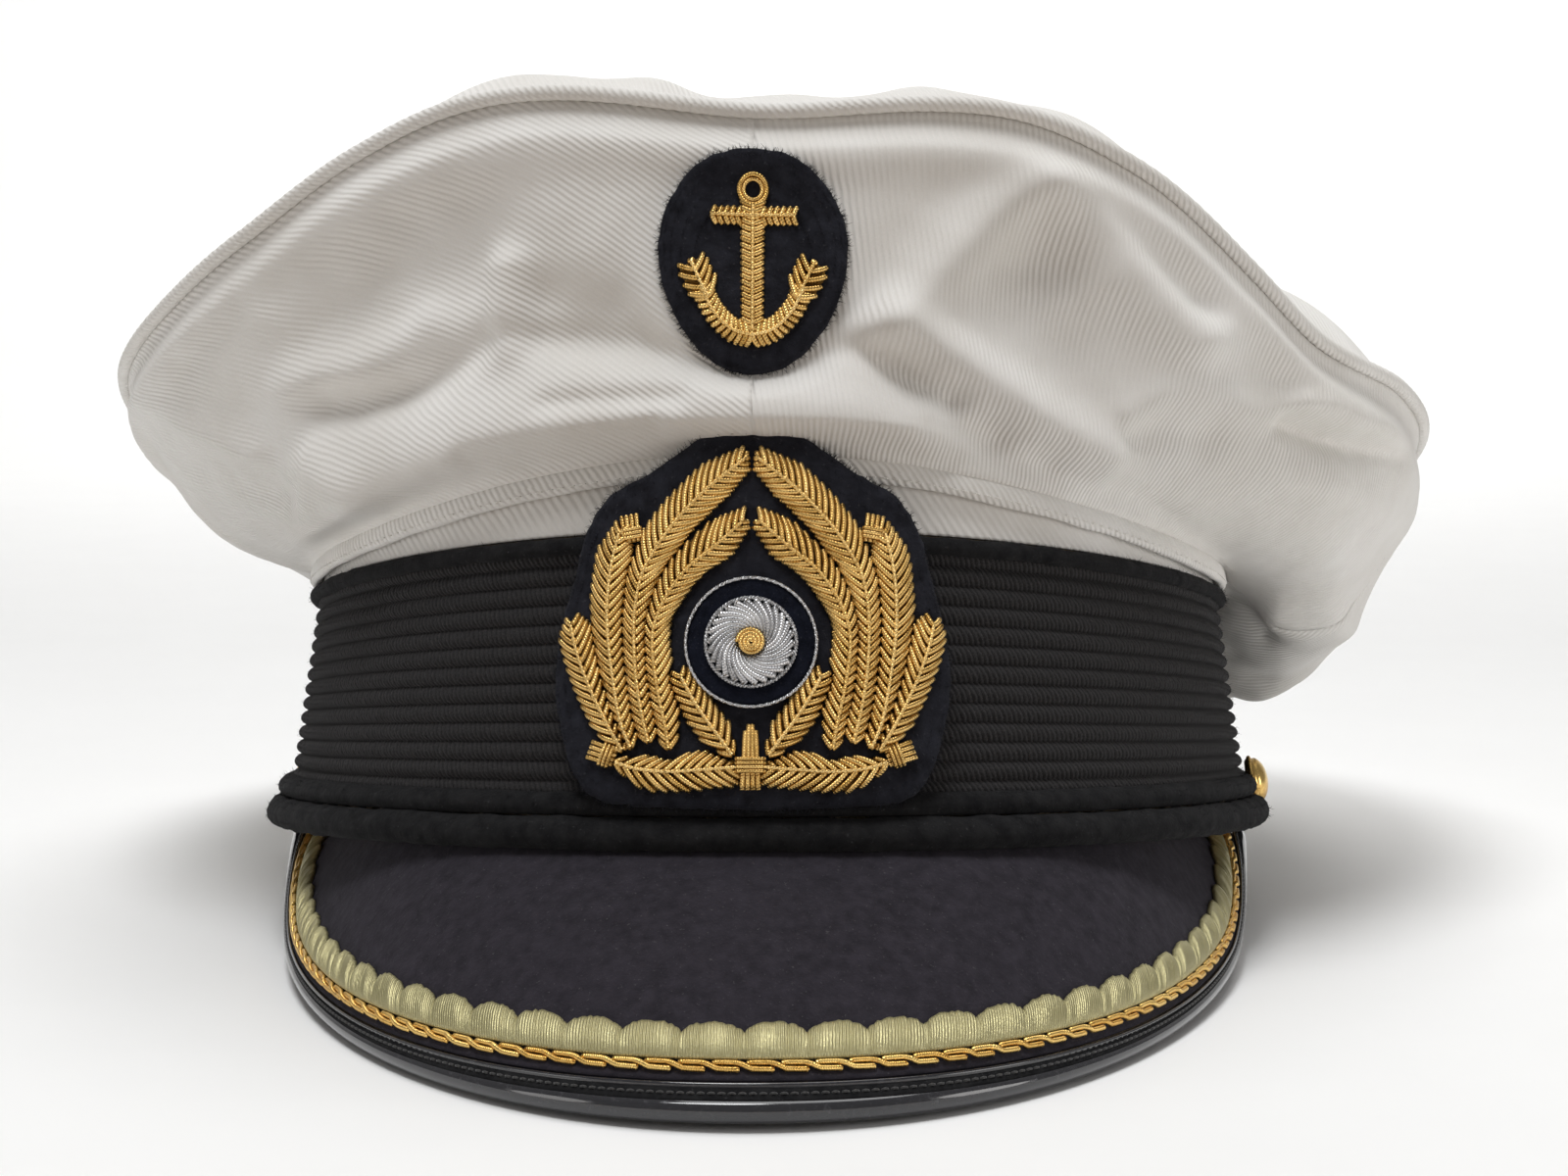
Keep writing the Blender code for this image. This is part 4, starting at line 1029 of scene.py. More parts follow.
def make_scallops():
    """Row of domed satin-stitch scallops, thread by thread across each one."""
    def foot(turn):
        return chain_inset(turn) + 1.15 * MM

    marks = even_turns(lambda a: visor_at(a, foot(a) + 2 * MM), SCALLOP_STEP, GOLD_WORK_TURN)
    threads = 17
    overlap = 0.03
    f = np.linspace(-overlap, 1 + overlap, threads * 5 + 1)[:, None]
    v = np.linspace(0, 1, 15)[None, :]
    ridge = np.abs(np.sin(math.pi * f * threads)) ** 0.6
    arch = np.sqrt(np.clip(1 - ((2 * f - 1) / (1 + 2 * overlap)) ** 2, 0, 1))
    rise = np.clip(np.sin(math.pi * (0.06 + 0.88 * v)), 0, 1) ** 0.55
    lift = (0.15 + 0.95 * rise * (0.72 + 0.28 * arch) + 0.10 * ridge * rise) * MM
    skin = Skin()
    for left, right in zip(marks, marks[1:]):
        turn = left + (right - left) * f
        length = (6.8 - 0.6 * cosine(turn)) * MM * (0.56 + 0.44 * arch)
        ends = RANDOM.uniform(-1, 1, threads + 1)
        ragged = 0.22 * MM * np.interp(f, np.linspace(0, 1, threads + 1), ends)
        inset = foot(turn) + (length + ragged) * (1 - v)
        skin.slab(visor_at(turn, inset, lift)[:, ::-1], visor_at(turn, inset, 0.05 * MM)[:, ::-1])
    skin.piece("visor_satin_scallops", PALE_GOLD, "visor_scallop_embroidery", "pale_gold_thread")


# ---------------------------------------------------------------- badge

BADGE_OUTLINE = (
    (0, 64.4), (7, 63.4), (13, 59.8), (18, 56.6), (23.5, 53.6), (27, 48), (28.6, 41), (30.4, 33),
    (30.8, 25), (29, 17), (26.6, 11), (22, 7.4), (12, 6.6), (0, 6.3),
)
# Leaves of the right half: vein from base to tip, half widths outside and inside (mm)
LEAVES = (
    (((14.8, 16.5), (16.2, 22), (17.2, 28), (17.6, 35), (17.1, 40), (15.9, 43.5), (12.4, 49), (7.2, 54.5),
      (1.0, 59.4)), (3.1, 3.3)),
    (((11.8, 15.5), (12.4, 19), (13.6, 24), (14.6, 30), (14.5, 34), (12.8, 38.4), (9.8, 42.6), (5.6, 46),
      (1.5, 49.6)), (2.7, 3.5)),
    (((17.4, 15.6), (19.2, 20), (20.8, 27.5), (21.7, 33.6), (21.9, 38), (21.6, 43), (20.6, 48)), (2.9, 3.0)),
    (((18.6, 15.2), (20.6, 18.4), (23.0, 22.6), (25.0, 26.6), (26.6, 30.6), (27.6, 34)), (2.9, 2.6)),
    (((2.6, 14.6), (4.2, 16.9), (6.2, 19.6), (8.2, 22.6), (10.2, 26.2)), (2.4, 2.6)),
    (((19.6, 13.4), (16.4, 12.5), (12, 12.1), (7, 12.4), (2.0, 12.8)), (2.9, 2.8)),
)
# Section of a felt patch from its middle round its edge: share of its reach and of its thickness
FELT_SECTION = np.array((
    (0.004, 1.0), (0.2, 1.0), (0.4, 1.0), (0.6, 1.0), (0.75, 1.0), (0.86, 1.0), (0.93, 0.99),
    (0.972, 0.93), (0.992, 0.78), (1.0, 0.55), (1.0, 0.35), (0.992, 0.12), (0.97, 0.0), (0.5, 0.0),
    (0.004, 0.0),
))
FELT_EDGE = slice(3, 12)


def felt_patch(name, outline, low, high, place, material, node, slot, body, hairs):
    """Thick felt cut to an outline (mm) that all its rays from the middle reach, with a soft edge."""
    middle = outline.mean(axis=0)
    flat = middle + (outline - middle)[:, None] * FELT_SECTION[None, :, :1]
    lift = low + (high - low) * FELT_SECTION[:, 1]
    points = place(flat[..., 0], flat[..., 1], lift + 0 * flat[..., 0])[:, ::-1]
    normals = grid_normals(points, True)
    bumps = wobble(points, 2.2 * MM) * 0.25 * MM + wobble(points, 0.8 * MM) * 0.10 * MM
    points = points + normals * bumps[..., None]
    skin = Skin().grid(points, True)
    skin.cap_ends(*points.shape[:2])
    rim = points[:, FELT_EDGE].reshape(-1, 3)
    picked = RANDOM.integers(0, len(rim), hairs)
    add_fuzz(skin, rim[picked], normals[:, FELT_EDGE].reshape(-1, 3)[picked], 0.7 * MM, 0.045 * MM)
    skin.piece(name, material, node, slot, body)


def place_up(place, path, height):
    """Outward direction of the curved ground under every point of a path."""
    here = place(path[..., 0], path[..., 1], height)
    return unit(place(path[..., 0], path[..., 1], height + MM) - here)


def lay_wire(skin, place, path, height, radius, sides=8, closed=False):
    """Bar laid along a path (mm) at a height over the curved ground."""
    height = height + 0 * path[:, 0]
    points = place(path[:, 0], path[:, 1], height)
    skin.tubes(points[None], radius, place_up(place, path, height)[None], sides, closed)


def nearest(points, course):
    """Distance of every point to the nearest point of a course."""
    apart = points[..., None, :] - course
    return np.sqrt((apart**2).sum(axis=-1)).min(axis=-1)


def strand_ends(line, along, across, width, slant, own, others):
    """Far ends (mm) of the strands on one side of a vein, cut where the next leaf begins."""
    full = across * width[:, None] + along * (width / math.tan(slant))[:, None]
    if others is None:
        return line + full
    share = np.linspace(0.2, 1.0, 17)
    tried = line[:, None] + full[:, None] * share[:, None]
    free = nearest(tried, own) <= nearest(tried, others) - LEAF_GAP_MM
    reach = np.where(free.all(axis=1), 1.0, share[np.argmin(free, axis=1)])
    return line + full * reach[:, None]


def add_leaf(skins, vein, widths, place, low, others=None, slant=math.radians(38), pad=1.05 * MM,
             ends=(0.55, 0.42)):
    """Herringbone of coiled strands over padding, on both sides of a beaded vein."""
    strands, veins, padding = skins
    fine = spline(vein, 400)
    length = run_along(fine)[-1]
    count = max(int(length * math.sin(slant) / STRAND_PITCH_MM), 4)
    line = spline(vein, count)
    along = unit(np.gradient(line, axis=0))
    share = np.linspace(0, 1, count)
    taper = np.clip(ends[0] + 4.0 * share, 0, 1) * np.clip(ends[1] + 3.0 * (1 - share), 0, 1)
    swell = STRAND_RADIUS * np.array((0.98, 1, 1, 1, 1, 1, 1, 0.95, 0.72))
    for turned, width in ((-1, widths[0]), (1, widths[1])):
        across = np.stack([along[:, 1], -along[:, 0]], axis=1) * turned
        chord = strand_ends(line, along, across, width * taper, slant, fine[::8], others) - line
        bow = np.stack([-chord[:, 1], chord[:, 0]], axis=1) * turned * -0.045
        full = np.clip(np.linalg.norm(chord, axis=1) / 2.5, 0.45, 1)[:, None]

        def rows(j):
            """Path and padding height at shares j of every strand."""
            bent = bow[:, None] * np.sin(math.pi * j)[:, None]
            return line[:, None] + chord[:, None] * j[:, None] + bent, pad * full * (1 - j**2.2)

        path, height = rows(np.linspace(0, 1, 9))
        path = path + RANDOM.normal(0, 0.025, (count, 1, 2))
        height = low + STRAND_RADIUS * 0.5 + height + RANDOM.normal(0, 0.03 * MM, (count, 1))
        strands.tubes(place(path[..., 0], path[..., 1], height), swell, place_up(place, path, height))
        # padding slab under the strands; its dark colour is painted shade where it shows between strands
        path, height = rows(np.array((0, 0.3, 0.6, 0.85, 0.97)))
        top = place(path[..., 0], path[..., 1], low + height - 0.1 * MM)
        bottom = place(path[..., 0], path[..., 1], low - 0.2 * MM + 0 * height)
        padding.slab(top[:, ::-turned], bottom[:, ::-turned])
    points = max(int(length / BEAD_PITCH_MM), 4) * 5 + 1
    ripple = 0.31 * MM * (1 + 0.30 * np.sin(math.tau * np.arange(points) / 5))
    lay_wire(veins, place, spline(vein, points), low + pad + STRAND_RADIUS, ripple, 7)


def embroidery_pieces(skins, name, tail, node, body):
    """The strands, veins and padding of one piece of gold work."""
    for skin, part, material in zip(skins, ("strands", "veins", "padding"), (GOLD, WIRE_GOLD, SHADED_PADDING)):
        stands_for = node if part == "strands" else None
        skin.piece(f"{name}_{part}{tail}", material, stands_for, "gold_bullion", body)


def add_bundle(skin, foot, heading, place, low):
    """Cut end of a twig: four short strands side by side, bound with three turns."""
    ahead = np.array((math.cos(heading), math.sin(heading)))
    across = np.array((-ahead[1], ahead[0]))
    j = np.linspace(0, 1, 7)
    for k in range(4):
        shift = (k - 1.5) * 0.72
        path = foot + ahead * (4.3 * j)[:, None] + across * (shift * (1 + 0.12 * j))[:, None]
        lay_wire(skin, place, path, low + STRAND_RADIUS * 1.1, 0.36 * MM)
    wide = np.linspace(-1, 1, 9)
    height = low + STRAND_RADIUS + 0.72 * MM * np.cos(1.35 * wide) ** 0.6
    for k in range(3):
        path = foot + ahead * (0.8 + 0.62 * k) + across * (wide * 1.75)[:, None]
        lay_wire(skin, place, path, height, BINDING_THREAD)


def make_wreath():
    courses = [spline(vein, 120) for vein, _ in LEAVES]
    for side, label in SIDES:
        place = lambda s, t, lift: badge_at(side * s, t, lift)
        skins = (Skin(), Skin(), Skin())
        for k, (vein, widths) in enumerate(LEAVES):
            others = np.concatenate(courses[:k] + courses[k + 1:] + [c * (-1, 1) for c in courses])
            add_leaf(skins, vein, widths, place, WREATH_LOW, others)
        add_bundle(skins[0], (18.6, 46.6), math.radians(80), place, WREATH_LOW + 0.2 * MM)
        add_bundle(skins[0], (19.8, 14.0), math.radians(18), place, WREATH_LOW + 0.2 * MM)
        if side < 0:
            for skin in skins:
                skin.flip()
        embroidery_pieces(skins, "wreath", f"_{label}", f"wreath_{label}", "cap_frame")


def make_stem():
    skin = Skin()
    j = np.linspace(0, 1, 12)
    for shift in (-1.15, -0.38, 0.38, 1.15):
        path = np.stack([shift * (1 - 0.35 * j), 9.4 + (10.2 - abs(shift) * 1.2) * j], axis=1)
        lay_wire(skin, badge_at, path, WREATH_LOW + 1.25 * MM, 0.40 * MM)
    wide = np.linspace(-1, 1, 11)
    height = WREATH_LOW + 1.0 * MM + 0.9 * MM * np.cos(wide * 1.35) ** 0.5
    for k in range(4):
        path = np.stack([wide * 2.1, 12.2 + 0.62 * k + 0 * wide], axis=1)
        lay_wire(skin, badge_at, path, height, BINDING_THREAD)
    skin.piece("wreath_stem_strands", GOLD, "wreath_stem", "gold_bullion")


def twisted_ring(skin, radius, lift, thread, twists, turn_radius):
    """Ring of two wires twisted round each other."""
    a = round_turns(twists * 8)
    for phase in (0, math.pi):
        spin = twists * a + phase
        path = polar(radius + turn_radius / MM * np.cos(spin), a, ROUNDEL_HEIGHT_MM)
        lay_wire(skin, badge_at, path, lift + turn_radius * np.sin(spin), thread, 6, True)


def make_roundel():
    low = WREATH_LOW + GAP
    top = low + 0.9 * MM
    felt_patch(
        "roundel_velvet", polar(0.94 * ROUNDEL_RADIUS_MM, round_turns(96), ROUNDEL_HEIGHT_MM), low,
        top + 0.1 * MM, badge_at, ROUNDEL_FELT, "roundel_base", "navy_felt", "cap_frame", 400,
    )
    skin = Skin()
    twisted_ring(skin, 0.95 * ROUNDEL_RADIUS_MM, top + 0.2 * MM, 0.16 * MM, 84, 0.12 * MM)
    skin.piece("roundel_outer_wire", SILVER, "roundel_wire", "silver_bullion")
    skin = Skin()
    inner = 0.67 * ROUNDEL_RADIUS_MM
    twisted_ring(skin, inner - 0.2, top + 0.5 * MM, 0.21 * MM, 44, 0.17 * MM)
    j = np.linspace(0, 1, 12)
    radius = 2.0 + (inner - 2.6) * j
    height = top + 0.35 * MM + 0.75 * MM * np.sin(math.pi * (0.15 + 0.75 * j))
    for turn in round_turns(26):
        path = polar(radius, turn - 1.25 * (1 - j) ** 1.3, ROUNDEL_HEIGHT_MM)
        lay_wire(skin, badge_at, path, height, (0.23 + 0.36 * j) * MM)
    skin.piece("roundel_spiral", SILVER, "roundel_disc", "silver_bullion")
    skin = Skin()
    coils = 3.5
    j = np.linspace(0, 1, 120)
    path = polar(0.15 + 1.85 * j, math.tau * coils * j, ROUNDEL_HEIGHT_MM)
    lay_wire(skin, badge_at, path, top + 1.0 * MM + 0.75 * MM * np.cos(j * 1.35), 0.34 * MM)
    skin.piece("roundel_boss", GOLD, "roundel_centre", "gold_bullion")


def make_badge():
    left = [(-x, y) for x, y in reversed(BADGE_OUTLINE) if x > 0]
    outline = spline([*BADGE_OUTLINE, *left, BADGE_OUTLINE[0]], 321)[:-1][::-1]
    felt_patch(
        "badge_felt", outline, BADGE_BACK - 1.2 * MM, WREATH_LOW, badge_at, PATCH_FELT,
        "badge_backing", "black_wool", "cap_frame", 3600,
    )
    make_wreath()
    make_stem()
    make_roundel()


# ---------------------------------------------------------------- emblem: a plain anchor

# Bars and flukes of the anchor round the patch's middle: vein, half width, slant in degrees, ends
ANCHOR = (
    (((0, -10.5), (0, -4), (0, 2), (0, 8.4)), 1.9, 66, (1, 1)),
    (((-6.6, 6.9), (-3, 6.9), (0, 6.9), (3, 6.9), (6.6, 6.9)), 1.4, 66, (1, 1)),
    (((0, -11.4), (3.6, -10.5), (6.8, -7.9), (8.9, -4.2)), 1.9, 66, (1, 0.8)),
    (((0, -11.4), (-3.6, -10.5), (-6.8, -7.9), (-8.9, -4.2)), 1.9, 66, (1, 0.8)),
    (((-7.6, -5.6), (-9.0, -3.4), (-10.4, -0.4)), 2.9, 52, (1, 0.1)),
    (((7.6, -5.6), (9.0, -3.4), (10.4, -0.4)), 2.9, 52, (1, 0.1)),
)


def make_emblem():
    turns = round_turns(160)
    oval = polar(1.0, turns) * EMBLEM_HALF_MM + (0, EMBLEM_HEIGHT_MM)
    low = EMBLEM_FELT + GAP
    felt_patch(
        "emblem_felt", oval, -0.8 * MM, low, emblem_at, PATCH_FELT,
        "emblem_backing", "navy_felt", "cover", 2200,
    )
    skins = (Skin(), Skin(), Skin())
    for vein, width, slant, ends in ANCHOR:
        vein = [(x, EMBLEM_HEIGHT_MM + y) for x, y in vein]
        add_leaf(skins, vein, (width, width), emblem_at, low, None, math.radians(slant), 0.5 * MM, ends)
    for radius, thread in ((2.2, 0.42), (1.5, 0.36)):
        path = polar(radius, round_turns(90), EMBLEM_HEIGHT_MM + 10.9)
        lay_wire(skins[0], emblem_at, path, low + 0.45 * MM, thread * MM, 8, True)
    embroidery_pieces(skins, "emblem_anchor", "", "emblem_anchor", "cover")


# ---------------------------------------------------------------- white cover

# Folds of the crown as seen from the front: height of the ridge (negative for a hollow), its half
# width, and its line, all in mm on the upright plane through the front of the band
FOLDS = (
    # left: flat hollow under the rim, the crease below it, the shelf over the band, small creases
    (-3.8, 11.5, ((-64, 85), (-54, 88), (-45, 89))),
    (-2.0, 5.0, ((-32, 83), (-24, 82), (-16, 82))),
    (-2.4, 3.4, ((-66, 67), (-59, 67.5), (-52, 69.5), (-46, 73), (-42, 76.5), (-33, 77), (-22, 76.5),
                 (-12, 76))),
    (3.4, 3.6, ((-38.5, 88), (-38.2, 83), (-38, 77))),
    (4.0, 7.5, ((-64, 54), (-52, 58), (-40, 62), (-27, 64), (-12, 65), (0, 65), (12, 65), (24, 63))),
    (-1.3, 1.7, ((-41, 59.5), (-32, 61), (-22, 62), (-14, 63.5))),
    (-0.9, 1.8, ((-30, 67.5), (-20, 68), (-11, 68))),
    (1.6, 4.0, ((-60, 94), (-66, 88), (-74, 81))),
    (-1.2, 3.0, ((-77, 86), (-83, 80), (-88, 75))),
    (1.3, 3.4, ((-70, 71), (-63, 72.5), (-56, 76), (-51, 80))),
    (1.1, 2.6, ((-66, 60), (-60, 56), (-57, 52))),
    (-1.2, 2.8, ((-86, 58), (-79, 55), (-71, 54))),
    (1.0, 2.4, ((-95, 69), (-86, 64), (-77, 60))),
    # right: two long ridges meeting under the rim, the flat diamond between them, lower creases
    (-2.6, 5.0, ((54, 98), (60, 91), (66, 84))),
    (2.9, 5.0, ((46, 101), (52, 94), (59, 85.5), (66, 78))),
    (2.5, 4.6, ((42, 100.5), (36, 95), (29, 88.5), (21, 80.5), (15.5, 79))),
    (-2.8, 9.0, ((43, 87), (43, 82), (47, 77))),
    (2.6, 4.4, ((22, 78.5), (29, 75), (36, 70.5), (44, 65), (52, 60))),
    (-2.2, 2.8, ((12, 77.5), (19, 74.5), (25, 70.5), (29, 68))),
    (-1.3, 2.8, ((26, 63.5), (31, 63), (36, 62))),
    (-1.0, 3.0, ((29, 57.5), (36, 56.5), (43, 57.5))),
    (0.9, 2.6, ((56, 66.3), (61, 69), (66, 69.5), (74, 66.5), (83, 67.5))),
    (-0.8, 2.6, ((56, 62), (62, 63), (68, 62.5))),
    (-1.9, 1.9, ((79, 64.2), (86, 61.4), (94, 60))),
    (1.2, 2.6, ((80, 67.5), (87, 65.5), (94, 64.5))),
    (1.0, 4.0, ((79, 56), (88, 54), (95, 50))),
    (-1.0, 3.4, ((54, 54), (60, 49), (64, 44))),
    (-1.8, 1.8, ((68, 37.5), (71, 35.5), (74, 33))),
    (1.8, 3.0, ((76, 35), (80, 33.5), (85, 34))),
)
FOLD_DEPTH = 1.35
# Unevenness of the cloth: height and size of each kind of bump (mm)
FINE_SLACK = ((0.40, 12), (0.20, 5.5), (0.07, 2.4))
QUARTERS = (
    ("front_left", -90, TWILL_LEFT), ("front_right", 0, TWILL_RIGHT), ("rear_right", 90, TWILL_LEFT),
    ("rear_left", -180, TWILL_RIGHT),
)


def front_view(points):
    """Where points appear from the front, in mm on the upright plane through the band's front."""
    shrink = (EYE_DISTANCE - BAND_HALF_LENGTH) / (EYE_DISTANCE + points[..., 1])
    x = points[..., 0] * shrink
    z = EYE_HEIGHT + (points[..., 2] - EYE_HEIGHT) * shrink
    return np.stack([x, z], axis=-1) / MM


def line_distance(points, line):
    """Distance of 2-D points from a smooth line through the knots."""
    course = spline(line, 16)
    best = np.full(points.shape[:-1], 1e9)
    for a, b in zip(course, course[1:]):
        span = b - a
        t = np.clip(((points - a) @ span) / (span @ span), 0, 1)
        best = np.minimum(best, np.linalg.norm(points - a - t[..., None] * span, axis=-1))
    return best


def fold_height(points, angle):
    """Height in mm of all the folds; the drawn ones fade out behind the cap's widest line."""
    seen = front_view(points)
    drawn = sum(FOLD_DEPTH * height * bell(line_distance(seen, line), width) for height, width, line in FOLDS)
    front = ramp01((112 - np.abs(angle)) / 22)
    stretched = points * (1, 1, 0.45)
    slack = wobble(stretched + 0.7, 17 * MM) * 2.6 + wobble(stretched - 0.4, 8 * MM) * 0.9
    fine = sum(height * wobble(points, size * MM) for height, size in FINE_SLACK)
    return drawn * front + slack * (1 - front) + fine


def seam_depth(angle, points):
    """Groove in mm along the four upright seams, with the cloth a little full on both sides."""
    reach = np.linalg.norm(points[..., :2], axis=-1)
    total = 0
    for seam in (-180, -90, 0, 90, 180):
        away = np.radians(angle - seam) * reach / MM
        total = total - 0.22 * bell(away, 0.5) + 0.18 * bell(np.abs(away) - 2.2, 1.3)
    return total


def crown_cloth(angle, v):
    """Outer face of the crown's cloth, with its folds, seams and rolled upper edge."""
    angle, v = np.broadcast_arrays(angle, v)
    base = crown_side(angle, v)
    normals = unit(lifted(crown_side, angle, v, MM) - base)
    hold = ramp01(v / 0.10) * ramp01((0.96 - v) / 0.2)
    seen = front_view(base)
    apart = np.hypot(seen[..., 0] / 16.5, (seen[..., 1] - EMBLEM_HEIGHT_MM) / 17.0)
    smooth_patch = ramp01((apart - 0.95) / 0.35)
    push = (fold_height(base, angle) + seam_depth(angle, base)) * hold * smooth_patch + rim_roll(v)
    hem = 0.5 * bell(v - 0.02, 0.02) * sine(angle * 60)
    return base + normals * ((push + hem * hold) * MM)[..., None]


def make_quarters():
    v = np.linspace(0, 0.985, 110)[None, :]
    for label, start, material in QUARTERS:
        turns = np.linspace(start, start + 90, 171)[:, None]
        low = band_point(turns, hem_base(turns) + HEM_HEIGHT - 1.2 * MM, NECK_OUT + 0.6 * MM)
        high = rim_point(turns, 0.5 * MM, 0.9 * MM)
        points = np.concatenate([low, crown_cloth(turns, v), high], axis=1)
        skin = sheet_slab(points, CLOTH_LAYER)
        made = skin.piece(f"cover_cloth_{label}", material, f"cover_{label}", "white_twill", "cover")
        declare_sheet(made, *grid_size(points), "stretched", "crown_wire")


def make_top():
    """Top panel, puffed up inside the piping, with creases that run in from its edge."""
    turns = full_turns(480)
    s = np.linspace(1, 0.003, 92)[None, :]
    points = crown_top(turns, s + 0 * turns)
    normals = grid_normals(points, True)
    radial = np.sin(np.radians(turns) * 23 + 2.0 * np.sin(np.radians(turns) * 5)) * bell(s - 0.90, 0.10)
    front = (turns + 180) % 360 - 180
    dip = bell(front + 5, 3.2) * bell(s - 0.93, 0.07) + 1.2 * bell(front - 2, 15) * bell(s - 0.80, 0.16)
    soft = 1.8 * wobble(points, 30 * MM) + 0.7 * wobble(points + 1, 11 * MM)
    push = (0.55 * radial + soft) * ramp01((1 - s) / 0.12) - 2.2 * dip * ramp01((1 - s) / 0.04)
    edge = rim_point(turns, 0.7 * MM, 0.1 * MM)
    points = np.concatenate([edge, points + normals * (push * MM)[..., None]], axis=1)
    below = points - grid_normals(points, True) * CLOTH_LAYER
    skin = Skin().slab(points, below, True)
    skin.uvs = [plan_uv(points, below)]
    made = skin.piece("cover_top_cloth", TWILL_TOP, "cover_top_panel", "white_twill", "cover")
    wide, deep = (1.06 * np.ptp(points[..., axis]) for axis in (0, 1))
    declare_sheet(made, wide, deep, grid_size(points, True)[2], "stretched", "crown_wire")


def plan_uv(points, below):
    """Plan position in mm for every corner of the top panel's slab, so that its ribs run straight."""
    both = np.concatenate([points, below[:, ::-1]], axis=1)[..., :2] / MM
    both = np.concatenate([both, both[:1]], axis=0)
    both = np.concatenate([both, both[:, :1]], axis=1)
    return quad_corners(both).reshape(-1, 2)


def make_piping():
    columns, twists = 1200, 300
    centre = rim_point(full_turns(columns)[:, 0])
    centre = centre + vec(0, 0, 0.5 * MM * wobble(centre, 25 * MM))
    radius = PIPING_RADIUS * (0.96 + 0.035 * np.sin(round_turns(columns) * twists))
    Skin().tubes(centre[None], radius, np.array((0, 0, 1.0)), 16, True).piece(
        "cover_piping_cord", TWILL_BIAS, "cover_piping", "white_twill", "cover")


def signed_power(value, power):
    return np.sign(value) * np.abs(value) ** power


def make_hem():
    """Folded bias strip along the cover's lower edge, its stitches, and the plain strip inside it."""
    turns = full_turns(720)
    a = round_turns(20)[None, :]
    wave = wobble(rim_point(turns[:, 0]), 14 * MM)[:, None] * 0.35 * MM
    thick = HEM_THICKNESS * 0.95
    tall = (HEM_HEIGHT / 2 + 0.15 * MM) * signed_power(np.sin(a), 0.85)
    height = hem_base(turns) + HEM_HEIGHT / 2 + wave + tall
    points = band_point(turns, height, NECK_OUT + GAP + thick + thick * signed_power(np.cos(a), 0.9))
    points = points + outward(turns) * (wobble(points, 5 * MM) * 0.12 * MM)[..., None]
    Skin().grid(points, True, True).piece(
        "cover_hem_strip", TWILL_BIAS, "cover_hem_binding", "white_twill", "cover")
    t = np.linspace(0, 1, 24)[None, :]
    low = band_top(turns) + GAP
    points = band_point(turns, low + (hem_base(turns) + HEM_HEIGHT - low) * t, NECK_OUT)
    ripple = wobble(points, 10 * MM) * 0.25 * MM * np.sin(math.pi * t)
    points = points + outward(turns) * ripple[..., None]
    made = sheet_slab(points, 0.8 * MM, True).piece(
        "cover_neck_strip", TWILL_LEFT, "cover_neck_band", "white_twill", "cover")
    declare_sheet(made, *grid_size(points, True), "stretched", "band_former")
    at = np.arange(-84, 84, 1.35)[:, None] + np.linspace(-0.42, 0.42, 5)
    raised = np.array((-0.05, 0.05, 0.08, 0.05, -0.05)) * MM
    height = hem_base(at) + HEM_HEIGHT * 0.22
    paths = band_point(at, height, NECK_OUT + GAP + HEM_THICKNESS * 1.84 + raised)
    Skin().tubes(paths, 0.10 * MM, outward(at), 5).piece(
        "cover_hem_stitches", WHITE_THREAD, None, "white_twill", "cover")


# ---------------------------------------------------------------- inside

def make_sweatband():
    turns = full_turns(360)
    t = np.linspace(0, 1, 14)[None, :]
    z = SWEATBAND_LOW + (SWEATBAND_HIGH - SWEATBAND_LOW) * t
    inside = SWEATBAND_OUT - SWEATBAND_THICKNESS
    inner = band_point(turns, z, inside)
    ripple = wobble(inner, 26 * MM) * 0.3 * MM * np.sin(math.pi * t)
    inner = inner - outward(turns) * ripple[..., None]
    Skin().slab(band_point(turns, z, SWEATBAND_OUT), inner, True).piece(
        "sweatband_hide", SWEAT_LEATHER, "sweatband", "sweatband_leather")
    skin = Skin()
    at = np.arange(0, 360, 2.2)[:, None] + np.linspace(-0.7, 0.7, 5)
    raised = np.array((-0.15, 0.08, 0.14, 0.08, -0.15)) * MM
    for height in (3.4 * MM, SWEATBAND_HIGH - 2.6 * MM):
        skin.tubes(band_point(at, height, inside - raised), 0.2 * MM, outward(at), 6)
    skin.piece("sweatband_stitches", TAN_THREAD, None, "sweatband_leather")


def lining_point(angle, v, drop=0.0):
    """Outer face of the lining dome: v is 0 at its lower edge and 1 at the top."""
    rise = np.sin(v * math.pi / 2) ** 0.9
    shrink = np.maximum(np.cos(v * math.pi / 2), 0) ** 0.55
    edge = band_point(angle, LINING_LOW, LINING_OUT)
    height = LINING_LOW + (LINING_TOP - LINING_LOW) * rise - drop
    return vec(edge[..., 0] * shrink, edge[..., 1] * shrink, height)


def make_lining():
    turns = full_turns(360)
    v = np.linspace(0.0, 0.9995, 44)[None, :]
    outer = lining_point(turns, v)
    pleats = np.abs(np.sin(np.radians(turns) * 12)) ** 0.35
    tuck = (1 - pleats) * 1.1 * np.sin(math.pi * v) ** 0.7
    soft = 0.5 + 0.5 * wobble(outer, 20 * MM)
    inner = outer - grid_normals(outer, True) * ((0.6 + tuck + 0.5 * soft) * MM)[..., None]
    made = Skin().slab(outer, inner, True).piece("lining_cloth", SATIN, "lining", "lining_satin")
    wide, deep = np.ptp(outer[..., 0]), np.ptp(outer[..., 1])
    area = grid_size(outer, True)[2]
    grow = math.sqrt(area / (wide * deep) / 0.8)
    declare_sheet(made, wide * grow, deep * grow, area, "hung", "band_former")
    s = np.linspace(1 - SHIELD_REACH, 0.9995, 26)[None, :]
    sheet_slab(lining_point(turns, s, SHIELD_DROP), 0.5 * MM, True).piece(
        "sweat_shield_sheet", CELLULOID, "sweat_shield", "clear_celluloid")


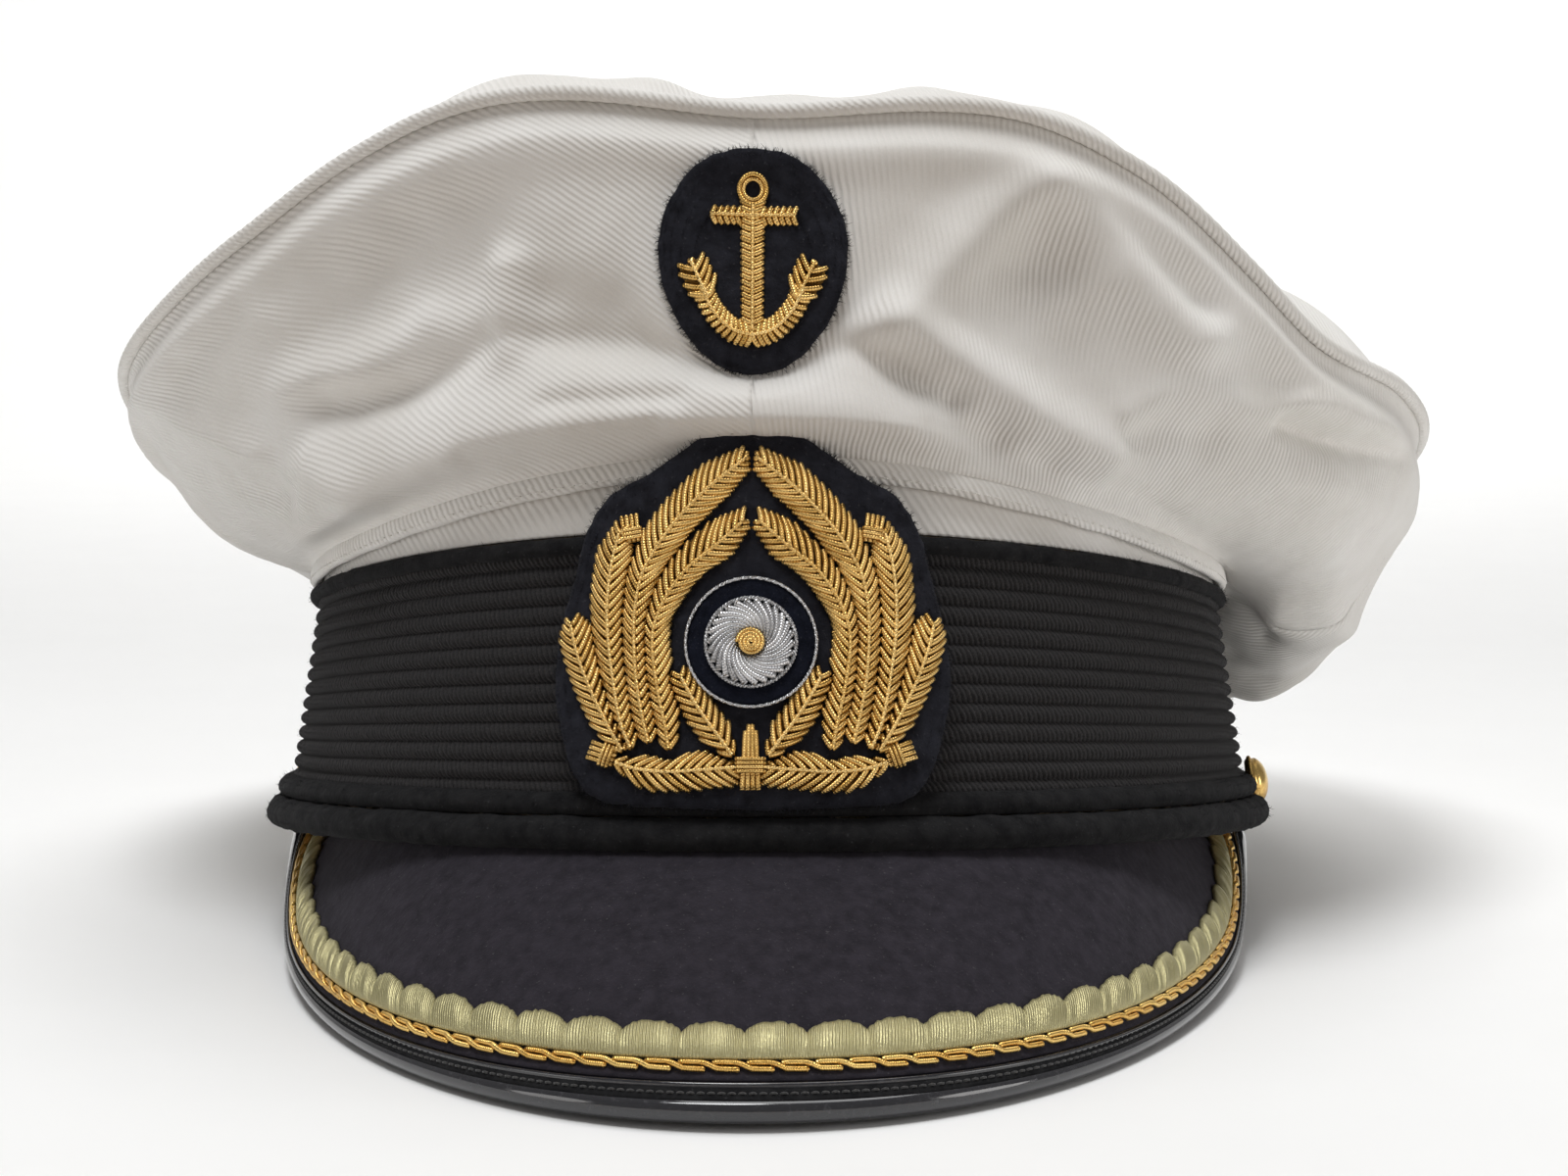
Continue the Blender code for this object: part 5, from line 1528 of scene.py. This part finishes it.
def paint_hidden_parts():
    """CAD nodes whose shape is right keep it and get their own finish."""
    looks = (
        (FIBRE, ("band_former", "badge_card")),
        (TAN_THREAD, ("sweatband_reed",)),
        (STEEL, ("front_stay", "crown_wire")),
        (GILT, [f"button_{part}_{label}" for part in ("shank", "pin") for _, label in SIDES]),
    )
    for material, nodes in looks:
        for node in nodes:
            mesh = frame["nodes"][node].data
            mesh.materials.clear()
            mesh.materials.append(material)


# ---------------------------------------------------------------- studio

def stage_object(name, points, material):
    """Smooth sheet of the studio through a grid of points."""
    mesh = bpy.data.meshes.new(name)
    index = np.arange(points.shape[0] * points.shape[1]).reshape(points.shape[:2])
    mesh.from_pydata(points.reshape(-1, 3).tolist(), [], quad_corners(index).tolist())
    mesh.polygons.foreach_set("use_smooth", [True] * len(mesh.polygons))
    mesh.materials.append(material)
    made = add_object(name, mesh)
    return made


def make_floor():
    """Pale floor that sweeps up into a backdrop behind the cap."""
    bend, radius = 0.9, 0.8
    flat = [(y, 0.0) for y in np.linspace(-2.2, bend, 12)]
    sweep = [(bend + radius * math.sin(a), radius - radius * math.cos(a))
             for a in np.linspace(0.1, math.pi / 2, 16)]
    wall = [(bend + radius, z) for z in np.linspace(0.9, 2.6, 6)]
    y, z = np.array(flat + sweep + wall).T
    points = vec(np.linspace(-2.5, 2.5, 9)[:, None], y, z)
    paint = stage_material("pale_floor", 30.0, 0.3, 0.7, (0.955, 0.955, 0.95), (0.97, 0.97, 0.965), 0.85)
    stage_object("floor", points, paint)


def make_bounce_card():
    """Warm card in front of the cap, which only lights it: it softens the floor's glare from below."""
    near, far, half = -0.17, -1.8, 1.5
    points = vec(np.array(((-half,), (half,))), np.array((far, near)), 0.004)
    paint = stage_material("bounce_card", 60.0, 0.0, 1.0, (0.38, 0.30, 0.23), (0.42, 0.34, 0.27), 0.9)
    card = stage_object("bounce_card", points, paint)
    card.visible_camera = False
    card.visible_shadow = False
    card.visible_glossy = False


def area_light(name, place, target, size, power, colour):
    data = bpy.data.lights.new(name, "AREA")
    data.shape = "DISK"
    data.size = size
    data.energy = power
    data.color = colour
    light = add_object(name, data)
    light.location = place
    light.rotation_euler = (Vector(target) - Vector(place)).to_track_quat("-Z", "Y").to_euler()


def make_studio():
    scene = bpy.context.scene
    scene.view_settings.view_transform = "Standard"
    world = bpy.data.worlds.new("studio")
    world.use_nodes = True
    background = world.node_tree.nodes["Background"]
    background.inputs["Color"].default_value = (1.0, 0.975, 0.945, 1)
    background.inputs["Strength"].default_value = 0.22
    scene.world = world
    white, cool, warm = (1.0, 1.0, 1.0), (0.98, 0.99, 1.0), (1.0, 0.98, 0.96)
    middle = (0, 0, 0.06)
    area_light("key", (-0.16, -0.36, 1.28), middle, 0.5, 8.5, cool)
    area_light("top", (0.15, 0.20, 1.38), middle, 0.9, 5.5, white)
    area_light("fill_right", (0.62, -0.30, 0.12), (0.1, 0.0, 0.05), 0.3, 0.8, warm)
    area_light("fill_left", (-0.62, -0.42, 0.12), (-0.1, 0.0, 0.05), 0.3, 0.5, warm)
    area_light("backdrop", (0, 0.95, 1.15), (0, 1.7, 0.75), 1.3, 10, white)


make_mohair()
make_rolls()
make_buttons()
make_visor_layers()
make_binding()
make_chain()
make_scallops()
make_badge()
make_emblem()
make_quarters()
make_top()
make_piping()
make_hem()
make_sweatband()
make_lining()
paint_hidden_parts()
make_floor()
make_bounce_card()
make_studio()
